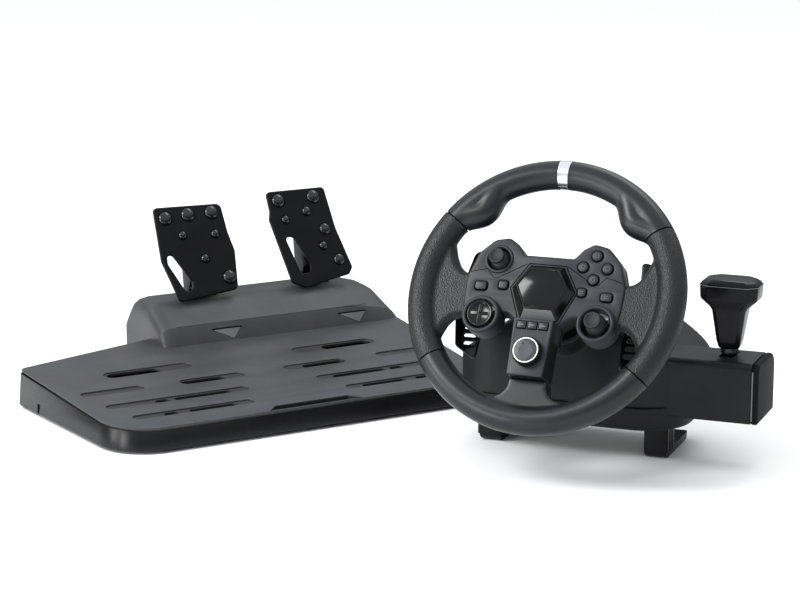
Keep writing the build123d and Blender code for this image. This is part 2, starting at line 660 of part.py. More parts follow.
def encoder_body():
    """The encoder that the pinion turns in, with its bracket from the end of the bearing seat."""
    x = gear_distance()
    post = x + MODULE * PINION_TEETH / 2 + 4
    tilt = Location((0, 0, WHEEL_HEIGHT), (90 - WHEEL_TILT, 0, 0))
    with BuildPart() as block:
        with BuildSketch(Plane.XY.offset(SEAT_END - 4)):
            Circle(19.5)
            with Locations((post / 2 + 2, 0)):
                Rectangle(post + 4, 14)
            Circle(SHAFT_R + 2, mode=Mode.SUBTRACT)
        extrude(amount=4)
        with Locations((post + 2, 0, (SEAT_END + GEAR_Z - 12) / 2)):
            Box(4, 14, SEAT_END - GEAR_Z + 12)
        with Locations(((x - 9 + post) / 2 + 2, 0, GEAR_Z - 7)):
            Box(post - x + 13, 16, 10)
        with Locations((x, 0, GEAR_Z)):
            Cylinder(2.53, 30, mode=Mode.SUBTRACT)
    return tilt * block.part


def shifter_housing():
    """The box arm at the right of the base that carries the shifter."""
    mid_y, mid_z = (BOX_Y0 + BOX_Y1) / 2, (BOX_Z0 + BOX_Z1) / 2
    with BuildPart() as box:
        with BuildSketch(Plane.YZ.offset(BOX_X0)):
            with Locations((mid_y, mid_z)):
                Rectangle(BOX_Y1 - BOX_Y0, BOX_Z1 - BOX_Z0)
        extrude(amount=BOX_X1 - BOX_X0)
        fillet(box.edges().filter_by(Axis.X).group_by(Axis.Z)[-1].sort_by(Axis.Y)[0], radius=7)
        fillet(box.edges().filter_by(Axis.X).group_by(Axis.Z)[-1].sort_by(Axis.Y)[-1], radius=16)
        fillet(box.edges().filter_by(Axis.X).group_by(Axis.Z)[0], radius=3)
        with Locations(((BOX_X0 + BOX_X1) / 2, mid_y, mid_z)):
            Box(BOX_X1 - BOX_X0 + 2, BOX_Y1 - BOX_Y0 - 2 * WALL - 14, BOX_Z1 - BOX_Z0 - 2 * WALL,
                mode=Mode.SUBTRACT)
        with Locations((SHIFT_X, SHIFT_Y, BOX_Z1)):
            Box(15, 30, 20, mode=Mode.SUBTRACT)
        with Locations((SHIFT_X - 14, SHIFT_Y, SHIFT_Z - 8), (SHIFT_X + 14, SHIFT_Y, SHIFT_Z - 8)):
            Box(5, 20, 40)
        with Locations(Location((SHIFT_X, SHIFT_Y, SHIFT_Z), (0, 90, 0))):
            Cylinder(3.05, 40, mode=Mode.SUBTRACT)
        add(base_block(0), mode=Mode.SUBTRACT)
        add(base_outline(0, SPLIT_Z - BODY_Z0, BODY_Z0), mode=Mode.SUBTRACT)
    return main_solid(box.part)


def shifter_end_cap():
    """The bevelled cap that closes the arm's end."""
    mid_y, mid_z = (BOX_Y0 + BOX_Y1) / 2, (BOX_Z0 + BOX_Z1) / 2
    with BuildPart() as cap:
        with BuildSketch(Plane.YZ.offset(BOX_X1)):
            with Locations((mid_y, mid_z)):
                Rectangle(BOX_Y1 - BOX_Y0, BOX_Z1 - BOX_Z0)
        extrude(amount=CAP_X1 - BOX_X1)
        fillet(cap.edges().filter_by(Axis.X).group_by(Axis.Z)[-1].sort_by(Axis.Y)[0], radius=7)
        fillet(cap.edges().filter_by(Axis.X).group_by(Axis.Z)[-1].sort_by(Axis.Y)[-1], radius=16)
        fillet(cap.edges().filter_by(Axis.X).group_by(Axis.Z)[0], radius=3)
        chamfer(cap.faces().sort_by(Axis.X)[-1].edges(), length=2)
    return cap.part


def shifter_lever():
    """The lever: a pivot barrel with stub pins, and a stem with a collar under the knob."""
    with BuildPart() as lever:
        with Locations(Location((SHIFT_X, SHIFT_Y, SHIFT_Z), (0, 90, 0))):
            Cylinder(7, 20)
            Cylinder(3, 34)
        with Locations((SHIFT_X, SHIFT_Y, (SHIFT_Z + 150) / 2)):
            Cylinder(4.5, 150 - SHIFT_Z)
        with Locations((SHIFT_X, SHIFT_Y, COLLAR_Z + 2)):
            Cylinder(9, 4)
    return lever.part


def knob_section(half_x, half_y, cut, z):
    """An eight-sided section of the shifter knob."""
    x, y = half_x, half_y
    points = [(-x + cut, -y), (x - cut, -y), (x, -y + cut), (x, y - cut),
              (x - cut, y), (-x + cut, y), (-x, y - cut), (-x, -y + cut)]
    with BuildSketch(Plane((SHIFT_X, SHIFT_Y, z))) as section:
        Polygon(*points, align=None)
    return section.sketch


def shifter_knob():
    """The faceted T-shaped knob: a tapering neck under a broad eight-sided head."""
    levels = [(COLLAR_Z + 4, 10.5, 9.5, 4), (126, 12.5, 11, 4), (160, 17.5, 15, 5),
              (169, 28.5, 20, 8), (183.5, 29.5, 21, 9), (188, 26.5, 18.5, 8.5), (190.5, 20, 13, 6)]
    with BuildPart() as knob:
        for low, high in zip(levels, levels[1:]):
            add(Solid.make_loft([knob_section(*low[1:], low[0]).faces()[0].outer_wire(),
                                 knob_section(*high[1:], high[0]).faces()[0].outer_wire()], True))
        fillet(knob.faces().sort_by(Axis.Z)[-1].edges(), radius=1.5)
        with Locations((SHIFT_X, SHIFT_Y, (COLLAR_Z + 150) / 2)):
            Cylinder(4.5, 150 - COLLAR_Z, mode=Mode.SUBTRACT)
    return knob.part


def clamp_arm(side):
    """A table clamp: an upright that slides in the base and a jaw that reaches under the table."""
    with BuildPart() as arm:
        with BuildSketch(Plane.YZ.offset(side * CLAMP_X - CLAMP_W / 2)):
            with BuildLine():
                Polyline((CLAMP_Y0, 12), (CLAMP_Y0, CLAMP_TOP), (CLAMP_Y1, CLAMP_TOP),
                         (CLAMP_Y1, JAW_T + 5), (CLAMP_Y1 + 5, JAW_T), (JAW_Y1, JAW_T),
                         (JAW_Y1, 4), (JAW_Y1 - 6, 0), (CLAMP_Y0 + 12, 0))
                ThreePointArc((CLAMP_Y0 + 12, 0), (CLAMP_Y0 + 3.5, 3.5), (CLAMP_Y0, 12))
            make_face()
        extrude(amount=CLAMP_W)
        for y in (CLAMP_Y0 + 8, CLAMP_Y0 + 13.5, CLAMP_Y0 + 19):  # ratchet grooves on the outer side
            with Locations((side * (CLAMP_X + CLAMP_W / 2), y, (4 + CLAMP_TOP) / 2)):
                Box(3, 2.6, CLAMP_TOP - 12, mode=Mode.SUBTRACT)
        for y in range(132, 170, 9):  # grip ribs on the jaw
            with Locations((side * CLAMP_X, y, JAW_T)):
                Box(CLAMP_W + 1, 3, 1.6, mode=Mode.SUBTRACT)
    return arm.part


def base_screws():
    """Six screws that hold the tray to the upper shell."""
    with BuildPart() as screws:
        with Locations((0, (PLINTH_Y0 + PLINTH_Y1) / 2, 0)):
            with GridLocations(60, 45, 2, 3):
                with Locations((0, 0, PLINTH_Z - 0.6)):
                    Cylinder(3, 1.2)
    return screws.part


# ================================================================ pedal unit
def deck_z(y):
    """Height of the deck's top face at a given depth."""
    return LIP_Z + RISE * y


def deck_outline(shrink):
    """The plan outline of the pedal unit."""
    s = shrink
    with BuildSketch() as plan:
        with BuildLine():
            Polyline((-FRONT_X + s, s), (FRONT_X - s, s), (REAR_X - s, SIDE_Y), (REAR_X - s, 330),
                     (225, BACK_Y - s), (HOUSING_X0 + s, BACK_Y - s), (HOUSING_X0 + s, 292 - s),
                     (-REAR_X + s, SIDE_Y - s), close=True)
        make_face()
        fillet(plan.vertices().group_by(Axis.Y)[0], radius=CORNER_R - s)
        fillet(plan.vertices().sort_by(Axis.X)[0], radius=8)
    return plan.sketch


def deck_wedge(shrink, floor, drop):
    """The deck: the outline raised from the floor level to the sloping top face."""
    with BuildPart() as wedge:
        with BuildSketch(Plane.XY.offset(floor)):
            add(deck_outline(shrink))
        extrude(amount=60)
        with BuildSketch(Plane.YZ.offset(-300)):
            with BuildLine():
                Polyline((-10, deck_z(-10) - drop), (BACK_Y + 10, deck_z(BACK_Y + 10) - drop),
                         (BACK_Y + 10, 200), (-10, 200), close=True)
            make_face()
        extrude(amount=600, mode=Mode.SUBTRACT)
    return wedge.part


def housing_block(shrink, floor):
    """The pedal housing: a side profile along its length, met by its front outline."""
    s = shrink
    with BuildPart() as block:
        with BuildSketch(Plane.YZ.offset(HOUSING_X0 + s)):
            with BuildLine():
                Polyline((SIDE_Y - 1 + s, floor), (SIDE_Y - 1 + s, 43 - s), (254 + s, 62 - s),
                         (296, 87 - s), (316, 90.5 - s), (338, 83 - s), (BACK_Y - s, 58 - s),
                         (BACK_Y - s, floor), close=True)
            make_face()
        extrude(amount=HOUSING_X1 - HOUSING_X0 - 2 * s)
        with BuildSketch(Plane.XZ.offset(-400)):
            with BuildLine():
                Polyline((HOUSING_X0 + s, floor), (HOUSING_X0 + s, 72 - s), (HOUSING_X0 + 12, 91 - s),
                         (172, 91 - s), (222, 79 - s), (HOUSING_X1 - s, 58 - s),
                         (HOUSING_X1 - s, floor), close=True)
            make_face()
        extrude(amount=300, mode=Mode.INTERSECT)
    return block.part


SLOTS = [  # middle x, y, length and width of the grip recesses in the deck's left half
    (-115, 182, 104, 20), (-179, 131, 72, 15), (-63, 129, 76, 16), (-124, 84, 164, 14), (-125, 43, 138, 13),
]
SLITS = [  # middle x, y, length and width of the through slits inside them
    (-132, 182, 62, 16), (-74, 129, 52, 12), (-95, 84, 66, 10), (-142, 84, 17, 10), (-103, 43, 54, 9),
    (-151, 43, 17, 9),
]


def recess(x, y, length, width, depth):
    """Cuts one rounded recess into the deck, on both halves of the unit."""
    tilt = degrees(atan2(RISE, 1))
    for side in (-1, 1):
        with Locations(Location((side * x, y, deck_z(y)), (tilt, 0, 0))):
            Box(length - width, width, 2 * depth, mode=Mode.SUBTRACT)
            with Locations(((width - length) / 2, 0, 0), ((length - width) / 2, 0, 0)):
                Cylinder(width / 2, 2 * depth, mode=Mode.SUBTRACT)


def pedal_base_cover():
    """The deck and the pedal housing, moulded in one shell."""
    with BuildPart() as cover:
        add(deck_wedge(0, FOOT_T, 0))
        add(housing_block(0, FOOT_T))
        add(deck_wedge(WALL, 0, WALL + 1.5), mode=Mode.SUBTRACT)
        add(housing_block(WALL, 0), mode=Mode.SUBTRACT)
        for slot in SLOTS:
            recess(*slot, 2.2)
        for slit in SLITS:
            recess(*slit, 8)
        with BuildSketch(Plane.XY.offset(LIP_Z - 4)):  # notch in the middle of the front edge
            Polygon((-60, -5), (-44, 18), (44, 18), (60, -5), align=None)
        extrude(amount=20, mode=Mode.SUBTRACT)
        for x in (BRAKE_X, ACCEL_X):
            with Locations((x, SLOT_Y, 80)):
                Box(ARM_W + 10, SLOT_L, 50, mode=Mode.SUBTRACT)
        for x in (BRAKE_X + 5, ACCEL_X + 22):  # triangular marks over the fold
            face = Plane((x, 249.5, 52), x_dir=(1, 0, 0), z_dir=(0, -sin(radians(65)), cos(radians(65))))
            with BuildSketch(face):
                Polygon((-15, 6.5), (21, 6.5), (10, -6.5), align=None)
            extrude(amount=-1.2, both=True, mode=Mode.SUBTRACT)
        for x in (BRAKE_X, ACCEL_X):  # pivot plates inside the housing
            with Locations((x - PLATE_OFF, 318, 30), (x + PLATE_OFF, 318, 30)):
                Box(5, 30, 44)
            with Locations(Location((x, PEDAL_PIVOT_Y, PEDAL_PIVOT_Z), (0, 90, 0))):
                Cylinder(PIN_R, 70, mode=Mode.SUBTRACT)
        with Locations(Location((90, BACK_Y, 24), (90, 0, 0))):  # outlet for the lead
            Cylinder(3, 20, mode=Mode.SUBTRACT)
    return main_solid(cover.part)


def pedal_base_plate():
    """The bottom plate, inside the cover's skirt."""
    with BuildPart() as plate:
        with BuildSketch(Plane.XY.offset(FOOT_T)):
            add(deck_outline(WALL + 0.3))
        extrude(amount=2.5)
    return plate.part


def pedal_feet():
    """Six rubber feet under the bottom plate."""
    with BuildPart() as feet:
        with Locations((-190, 34), (0, 34), (190, 34), (-200, 220), (20, 330), (200, 300)):
            with Locations((0, 0, FOOT_T / 2)):
                Cylinder(13, FOOT_T)
    return feet.part


def pedal_arm(x):
    """A pedal's arm: a barrel on the pivot pin and a broad block up to the pad."""
    with BuildPart() as arm:
        with Locations(Location((x, PEDAL_PIVOT_Y, PEDAL_PIVOT_Z), (0, 90, 0))):
            Cylinder(9, ARM_W)
        with BuildSketch(Plane.YZ.offset(x - ARM_W / 2)):
            Polygon((310, 44), (326, 44), (322, 96), (330.4, 155.5), (322.4, 159.2), (298.3, 109.8),
                    (305, 96), align=None)
        extrude(amount=ARM_W)
        with Locations((x, PEDAL_PIVOT_Y, 40)):
            Box(ARM_W - 14, 30, 22, mode=Mode.SUBTRACT)
        with Locations(Location((x, PEDAL_PIVOT_Y, PEDAL_PIVOT_Z), (0, 90, 0))):
            Cylinder(PIN_R + 0.05, 60, mode=Mode.SUBTRACT)
    return arm.part


def pad_plane(x):
    """The face of a pedal's pad: +X right, +Y up the pad, +Z towards the driver."""
    a = radians(PAD_LEAN)
    return Plane((x, 285, 94), x_dir=(1, 0, 0), z_dir=(0, -cos(a), sin(a)))


def pedal_pad(x, outline, window, studs):
    """A pressed metal pad with a window and raised studs."""
    with BuildPart() as pad:
        with BuildSketch(pad_plane(x)) as face:
            Polygon(*outline, align=None)
            fillet(face.vertices(), radius=4)
            Polygon(*window, align=None, mode=Mode.SUBTRACT)
        extrude(amount=-5)
        for u, v, r in studs:
            with BuildSketch(pad_plane(x)):
                with Locations((u, v)):
                    Circle(r)
            extrude(amount=2.2, taper=25)
    return pad.part


def brake_pad():
    """The broad pad of the brake."""
    outline = [(-35, -8), (40, 0), (46, 46), (42, 68), (40, 104), (-45, 106), (-48, 42)]
    window = [(-40, 48), (-33, 48), (-15, 14), (-17, 4), (-26, 4), (-41, 38)]
    studs = [(-33, 92, 8.2), (-4, 94, 8.2), (26, 94, 8.2), (-16, 70, 5.2), (25, 68, 5.2), (6, 40, 5.2),
             (32, 15, 8.2)]
    return pedal_pad(BRAKE_X, outline, window, studs)


def accelerator_pad():
    """The tall pad of the accelerator."""
    outline = [(-36, 0), (-21, -8), (41, 2), (47, 10), (36, 60), (32, 112), (-45, 112), (-45, 88), (-48, 78)]
    window = [(-33, 55), (-22, 55), (-8, 19), (-10, 9), (-22, 9)]
    studs = [(-32, 100, 8.2), (15, 101, 8.2), (2, 84, 5.8), (-28, 76, 5.2), (21, 60, 7), (14, 40, 5.2),
             (31, 21, 7)]
    return pedal_pad(ACCEL_X, outline, window, studs)


def pedal_pins():
    """The two pivot pins."""
    with BuildPart() as pins:
        for x in (BRAKE_X, ACCEL_X):
            with Locations(Location((x, PEDAL_PIVOT_Y, PEDAL_PIVOT_Z), (0, 90, 0))):
                Cylinder(PIN_R, 2 * PLATE_OFF + 8)
    return pins.part


def return_springs():
    """A torsion spring round each pivot pin, in the gap of the arm's barrel."""
    with BuildPart() as springs:
        for x in (BRAKE_X, ACCEL_X):
            with BuildLine() as coil:
                Helix(2.5, 10, 6.2, center=(x - 5, PEDAL_PIVOT_Y, PEDAL_PIVOT_Z), direction=(1, 0, 0))
            with BuildSketch(Plane(origin=coil.line @ 0, z_dir=coil.line % 0)):
                Circle(1.0)
            sweep(path=coil.line)
    return springs.part


def main():
    os.makedirs("parts", exist_ok=True)
    gap = JOINT_GAP
    wheel_parts = {
        "wheel_armature": armature(),
        "grip_top_right": grip(TOP_JOINT + gap, 90 - MARKER_HALF, 45),
        "grip_top_left": grip(90 + MARKER_HALF, 180 - TOP_JOINT - gap, 135),
        "grip_side_right": grip(-LOW_JOINT + gap, TOP_JOINT - gap),
        "grip_side_left": grip(180 - TOP_JOINT + gap, 180 + LOW_JOINT - gap),
        "grip_bottom": bottom_grip(),
        "marker_band": grip(90 - MARKER_HALF + 0.2, 90 + MARKER_HALF - 0.2),
        "spoke_web_right": spoke_web(1),
        "spoke_web_left": spoke_web(-1),
        "hub_front_cover": hub_front_cover(),
        "hub_rear_cover": hub_rear_cover(),
        "hub_board": hub_board(),
        "screen_bezel": screen_bezel(),
        "screen_glass": screen_glass(),
        "console_panel": console_panel(),
        "rotary_knob": rotary_knob(),
        "stick_left_gimbal": gimbal(STICK_X, STICK_Y, STICK_PIVOT, STICK_BLOCK),
        "stick_left": thumb_stick(STICK_X, STICK_Y, STICK_PIVOT, 8),
        "stick_right_gimbal": gimbal(POD_X, POD_Y, POD_PIVOT, STICK_BLOCK),
        "stick_right": thumb_stick(POD_X, POD_Y, POD_PIVOT, 8.5),
        "dpad_gimbal": gimbal(-POD_X, POD_Y, DPAD_PIVOT, DPAD_BLOCK),
        "direction_pad": direction_pad(),
        "paddle_left": paddle(-1),
        "paddle_right": paddle(1),
        "steering_shaft": steering_shaft(),
        "shaft_gear": involute_gear(GEAR_TEETH, 0, 0),
        "encoder_pinion": encoder_pinion(),
    }
    for name, (spot, size) in button_spots().items():
        wheel_parts[name] = push_button(spot, size)
    for name, x in (("row_button_left", -ROW_STEP), ("row_button_middle", 0), ("row_button_right", ROW_STEP)):
        wheel_parts[name] = row_button(x)
    base_parts = {
        "base_upper_shell": base_upper_shell(),
        "base_lower_shell": base_lower_shell(),
        "foot_pads": foot_pads(),
        "base_board": base_board(),
        "base_screws": base_screws(),
        "encoder_body": encoder_body(),
        "column_bearings": column_bearings(),
        "shifter_housing": shifter_housing(),
        "shifter_end_cap": shifter_end_cap(),
        "shifter_lever": shifter_lever(),
        "shifter_knob": shifter_knob(),
        "clamp_arm_left": clamp_arm(-1),
        "clamp_arm_right": clamp_arm(1),
    }
    pedal_parts = {
        "pedal_base_cover": pedal_base_cover(),
        "pedal_base_plate": pedal_base_plate(),
        "pedal_feet": pedal_feet(),
        "brake_arm": pedal_arm(BRAKE_X),
        "brake_pad": brake_pad(),
        "accelerator_arm": pedal_arm(ACCEL_X),
        "accelerator_pad": accelerator_pad(),
        "pedal_pins": pedal_pins(),
        "return_springs": return_springs(),
    }
    for parts, place in ((wheel_parts, WHEEL), (base_parts, BASE), (pedal_parts, PEDALS)):
        for name, part in parts.items():
            export(part, name, place)


main()
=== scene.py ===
"""Racing wheel set: the looks of the wheel unit and the pedal unit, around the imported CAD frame.

Lengths in the shape functions are millimetres in one of three local frames, as in the CAD source:
the wheel's face (WHEEL), the wheel base on the floor (BASE) and the pedal unit (PEDALS).
"""
import json
from math import acos, atan2, cos, degrees, exp, pi, radians, sin, sqrt, tan

import bmesh
import bpy
from mathutils import Matrix, Vector


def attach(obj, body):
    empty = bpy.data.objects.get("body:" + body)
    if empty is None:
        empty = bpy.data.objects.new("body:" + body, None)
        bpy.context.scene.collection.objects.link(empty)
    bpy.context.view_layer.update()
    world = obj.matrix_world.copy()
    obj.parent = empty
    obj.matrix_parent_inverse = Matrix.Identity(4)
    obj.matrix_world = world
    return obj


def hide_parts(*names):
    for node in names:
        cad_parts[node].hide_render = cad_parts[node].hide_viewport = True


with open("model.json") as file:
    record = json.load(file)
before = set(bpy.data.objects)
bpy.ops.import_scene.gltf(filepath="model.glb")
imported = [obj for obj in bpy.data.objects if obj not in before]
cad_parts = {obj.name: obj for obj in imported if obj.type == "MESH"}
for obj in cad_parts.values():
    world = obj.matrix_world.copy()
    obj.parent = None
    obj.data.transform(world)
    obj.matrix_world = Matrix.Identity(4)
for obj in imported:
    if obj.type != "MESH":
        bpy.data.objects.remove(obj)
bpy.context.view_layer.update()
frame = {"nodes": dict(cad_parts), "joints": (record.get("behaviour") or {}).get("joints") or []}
NODES = frame["nodes"]
JOINTS = {joint["name"]: joint for joint in frame["joints"]}
MM = 0.001

# ---- local frames, from the joints
def frame_matrix(origin, x_axis, z_axis):
    """A matrix from local millimetres to metres in the row's frame."""
    z = Vector(z_axis).normalized()
    x = (Vector(x_axis) - Vector(x_axis).dot(z) * z).normalized()
    y = z.cross(x)
    turn = Matrix((x, y, z)).transposed().to_4x4()
    return Matrix.Translation(Vector(origin)) @ turn @ Matrix.Scale(MM, 4)


STEERING = JOINTS["steering"]
HUB_POINT = Vector(STEERING["pos_m"])
WHEEL = frame_matrix(HUB_POINT, (1, 0, 0), STEERING["axis"])
BASE = frame_matrix((HUB_POINT.x, HUB_POINT.y, 0), (1, 0, 0), (0, 0, 1))
BRAKE_PIVOT = Vector(JOINTS["brake_press"]["pos_m"])
ACCEL_PIVOT = Vector(JOINTS["accelerator_press"]["pos_m"])
PEDAL_X = (ACCEL_PIVOT - BRAKE_PIVOT).normalized()
BRAKE_X, ACCEL_X = 7.0, 154.0
PIVOT_Y, PIVOT_Z = 318.0, 42.0
PEDAL_ORIGIN = BRAKE_PIVOT - MM * (BRAKE_X * PEDAL_X + PIVOT_Y * Vector((0, 0, 1)).cross(PEDAL_X))
PEDAL_ORIGIN.z = 0
PEDALS = frame_matrix(PEDAL_ORIGIN, PEDAL_X, (0, 0, 1))


def at(unit, x=0, y=0, z=0, tilt_x=0):
    """A local frame moved to a point of another one, and tipped about its X axis, in degrees."""
    return unit @ Matrix.Translation((x, y, z)) @ Matrix.Rotation(radians(tilt_x), 4, "X")


# ---- materials
COAT_ROUGHNESS = 0.12


def set_inputs(node, values):
    """Sets a shader node's inputs by name."""
    for key, value in values.items():
        node.inputs[key].default_value = value


def material(name, colour, rough, *, metal=0.0, coat=0.0, grain=None, weave=None,
             mottling=0.12, rough_spread=0.08, specular=0.5, scratches=0.0):
    """A procedural surface: colour mottling, uneven roughness and a fine bump.

    grain is the size and the height of the texture's cells in millimetres; weave is the same for a
    second, larger wave under the grain; scratches is their depth.
    """
    mat = bpy.data.materials.new(name)
    mat.use_nodes = True
    nodes, link = mat.node_tree.nodes, mat.node_tree.links.new
    shader = nodes["Principled BSDF"]
    set_inputs(shader, {"Metallic": metal, "Coat Weight": coat, "Coat Roughness": COAT_ROUGHNESS,
                        "Specular IOR Level": specular})
    coords = nodes.new("ShaderNodeTexCoord").outputs["Object"]

    def texture(output, kind="ShaderNodeTexNoise", **values):
        node = nodes.new(kind)
        set_inputs(node, values)
        link(coords, node.inputs["Vector"])
        return node.outputs[output]

    def bumped(height, depth, under, invert=False):
        bump = nodes.new("ShaderNodeBump")
        bump.inputs["Distance"].default_value = depth * MM
        bump.invert = invert
        link(height, bump.inputs["Height"])
        if under:
            link(under, bump.inputs["Normal"])
        return bump.outputs["Normal"]

    cloud = texture("Fac", Scale=38, Detail=5)
    ramp = nodes.new("ShaderNodeValToRGB")
    for element, position, tone in zip(ramp.color_ramp.elements, (0.3, 0.7), (1 - mottling, 1 + mottling)):
        element.position = position
        element.color = (*[min(1, c * tone) for c in colour], 1)
    link(cloud, ramp.inputs["Fac"])
    link(ramp.outputs["Color"], shader.inputs["Base Color"])

    smear = texture("Fac", Scale=14, Detail=3)
    spread = nodes.new("ShaderNodeMapRange")
    set_inputs(spread, {"To Min": max(0.02, rough - rough_spread), "To Max": min(1, rough + rough_spread)})
    link(smear, spread.inputs["Value"])
    link(spread.outputs["Result"], shader.inputs["Roughness"])

    normal = None
    if weave:
        normal = bumped(texture("Fac", Scale=1000 / weave[0], Detail=2), weave[1], normal)
    if grain:
        cells = texture("Distance", "ShaderNodeTexVoronoi", Scale=1000 / grain[0])
        normal = bumped(cells, grain[1], normal, invert=True)
    if scratches:
        lines = texture("Fac", Scale=90, Detail=8, Distortion=2.5)
        normal = bumped(lines, scratches, normal)
    if normal:
        link(normal, shader.inputs["Normal"])
    return mat


SMOOTH_LEATHER = material("smooth_leather", (0.009, 0.0095, 0.012), 0.34, grain=(0.9, 0.03),
                          weave=(9, 0.08), specular=0.34)
GRAINED_LEATHER = material("grained_leather", (0.008, 0.0085, 0.010), 0.42, grain=(1.5, 0.36),
                           weave=(9, 0.06), specular=0.34)
SILVER = material("silver_trim", (0.66, 0.67, 0.69), 0.24, metal=1.0, grain=(0.3, 0.004),
                  mottling=0.05)
HUB_PLASTIC = material("hub_plastic", (0.016, 0.018, 0.023), 0.40, grain=(0.35, 0.02),
                       scratches=0.01, specular=0.28)
BODY_PLASTIC = material("body_plastic", (0.009, 0.0095, 0.011), 0.38, grain=(0.4, 0.02),
                        scratches=0.012, specular=0.18)
DARK_PLASTIC = material("dark_plastic", (0.006, 0.006, 0.007), 0.42, grain=(0.4, 0.02), specular=0.18)
# The deck plastic is lighter than its walls: a dark grey raised to paint in the sheen that the deck and the
# housing catch from above.
DECK_PLASTIC = material("deck_plastic", (0.036, 0.039, 0.042), 0.46, grain=(0.55, 0.04),
                        scratches=0.015, specular=0.30)
# A darker copy of the deck plastic for the floor under the slots: painted shade in the recesses.
DECK_PAINTED_SHADE = material("deck_painted_shade", (0.020, 0.022, 0.024), 0.5, grain=(0.55, 0.04), specular=0.22)
# A darker copy of the deck plastic for the walls: painted shade on their upright faces.
LIP_PAINTED_SHADE = material("lip_painted_shade", (0.005, 0.005, 0.006), 0.28, grain=(0.5, 0.015), specular=0.26)
GLOSS_BLACK = material("gloss_black", (0.003, 0.003, 0.0035), 0.16, coat=0.12, scratches=0.006,
                       rough_spread=0.05, specular=0.2)
PAD_PAINT = material("pad_paint", (0.004, 0.004, 0.005), 0.30, grain=(0.6, 0.012), specular=0.10)
KNOB_BLACK = material("knob_black", (0.004, 0.004, 0.005), 0.26, grain=(0.6, 0.004), rough_spread=0.06,
                      specular=0.16, scratches=0.004)
DARK_STEEL = material("dark_steel", (0.07, 0.07, 0.075), 0.3, metal=1.0, grain=(0.3, 0.006))
STUD_BLACK = material("stud_black", (0.003, 0.003, 0.0035), 0.15, grain=(0.6, 0.004),
                      rough_spread=0.04, specular=0.5)
SCREEN = material("screen", (0.003, 0.0035, 0.0035), 0.10, scratches=0.002, rough_spread=0.03, specular=0.22)
# A light grey on the bezel's lower facet: a painted highlight.
BEZEL_HIGHLIGHT_GREY = material("bezel_highlight_grey", (0.13, 0.135, 0.14), 0.30, coat=0.2, grain=(0.3, 0.005))
SOFT_RUBBER = material("soft_rubber", (0.014, 0.0145, 0.018), 0.55, grain=(0.5, 0.03), specular=0.3)
RUBBER = material("rubber", (0.010, 0.010, 0.010), 0.8, grain=(0.8, 0.05), specular=0.2)
BUTTON_BLACK = material("button_black", (0.013, 0.014, 0.018), 0.32, grain=(0.3, 0.006), specular=0.3)
KNOB_FACE = material("knob_face", (0.030, 0.031, 0.036), 0.36, grain=(1.1, 0.12), specular=0.35)
LIGHT_RING = material("light_ring", (0.86, 0.87, 0.88), 0.3, coat=0.4, grain=(0.3, 0.002),
                      mottling=0.03)
STEEL = material("steel", (0.52, 0.53, 0.55), 0.3, metal=1.0, grain=(0.3, 0.006), scratches=0.01)
BOARD = material("board", (0.02, 0.11, 0.05), 0.42, coat=0.2, grain=(0.7, 0.01))
# Light grey for printed marks, and for painted highlight lines and plates.
MARK_AND_HIGHLIGHT_GREY = material("mark_and_highlight_grey", (0.13, 0.135, 0.14), 0.5, grain=(0.5, 0.01))
CAP_PLASTIC = material("cap_plastic", (0.006, 0.006, 0.007), 0.62, grain=(0.4, 0.02), specular=0.08)
# Near black for dark joints, seams and printed dots, and painted shade in the engraved lines, below the
# deck's slits and beside the housing's triangles.
DARK_JOINT_MARK_AND_SHADE = material("dark_joint_mark_and_shade", (0.0015, 0.0015, 0.002), 0.6, grain=(0.5, 0.01), specular=0.05)


# ---- shapes
def finish_mesh(obj, mat, angle=35):
    """Gives a mesh its material and shades it smooth up to an edge angle."""
    obj.data.materials.clear()
    obj.data.materials.append(mat)
    for face in obj.data.polygons:
        face.use_smooth = True
    if angle < 180:
        obj.data.set_sharp_from_angle(angle=radians(angle))
    return obj


def new_object(name, data):
    """An object for a mesh, a curve, a lamp or the camera, linked to the scene."""
    obj = bpy.data.objects.new(name, data)
    bpy.context.scene.collection.objects.link(obj)
    return obj


def cleaned(mesh, merge):
    """Merges doubled points and turns every face outwards."""
    bm = bmesh.new()
    bm.from_mesh(mesh)
    bmesh.ops.remove_doubles(bm, verts=bm.verts, dist=merge)
    bmesh.ops.recalc_face_normals(bm, faces=bm.faces)
    return written(bm, mesh)


def written(bm, mesh):
    """Writes a bmesh to a mesh and frees it."""
    bm.to_mesh(mesh)
    bm.free()
    return mesh


def mesh_object(name, verts, faces, unit, mat, angle=35):
    """A mesh object from local points in millimetres."""
    mesh = bpy.data.meshes.new(name)
    mesh.from_pydata([unit @ Vector(v) for v in verts], [], faces)
    return finish_mesh(new_object(name, cleaned(mesh, 1e-6)), mat, angle)


def evaluated(obj):
    """A new mesh from an object as it looks with its modifiers or its curve settings."""
    bpy.context.view_layer.update()
    return bpy.data.meshes.new_from_object(obj.evaluated_get(bpy.context.evaluated_depsgraph_get()))


def applied(obj):
    """The same object, with its modifiers made part of its mesh."""
    mesh = evaluated(obj)
    obj.modifiers.clear()
    obj.data = mesh
    return obj


def place(obj, body, slot, *nodes):
    """Rides a piece on a body and lets it stand for CAD nodes; slot is not used."""
    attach(obj, body)
    if nodes:
        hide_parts(*nodes)
    return obj


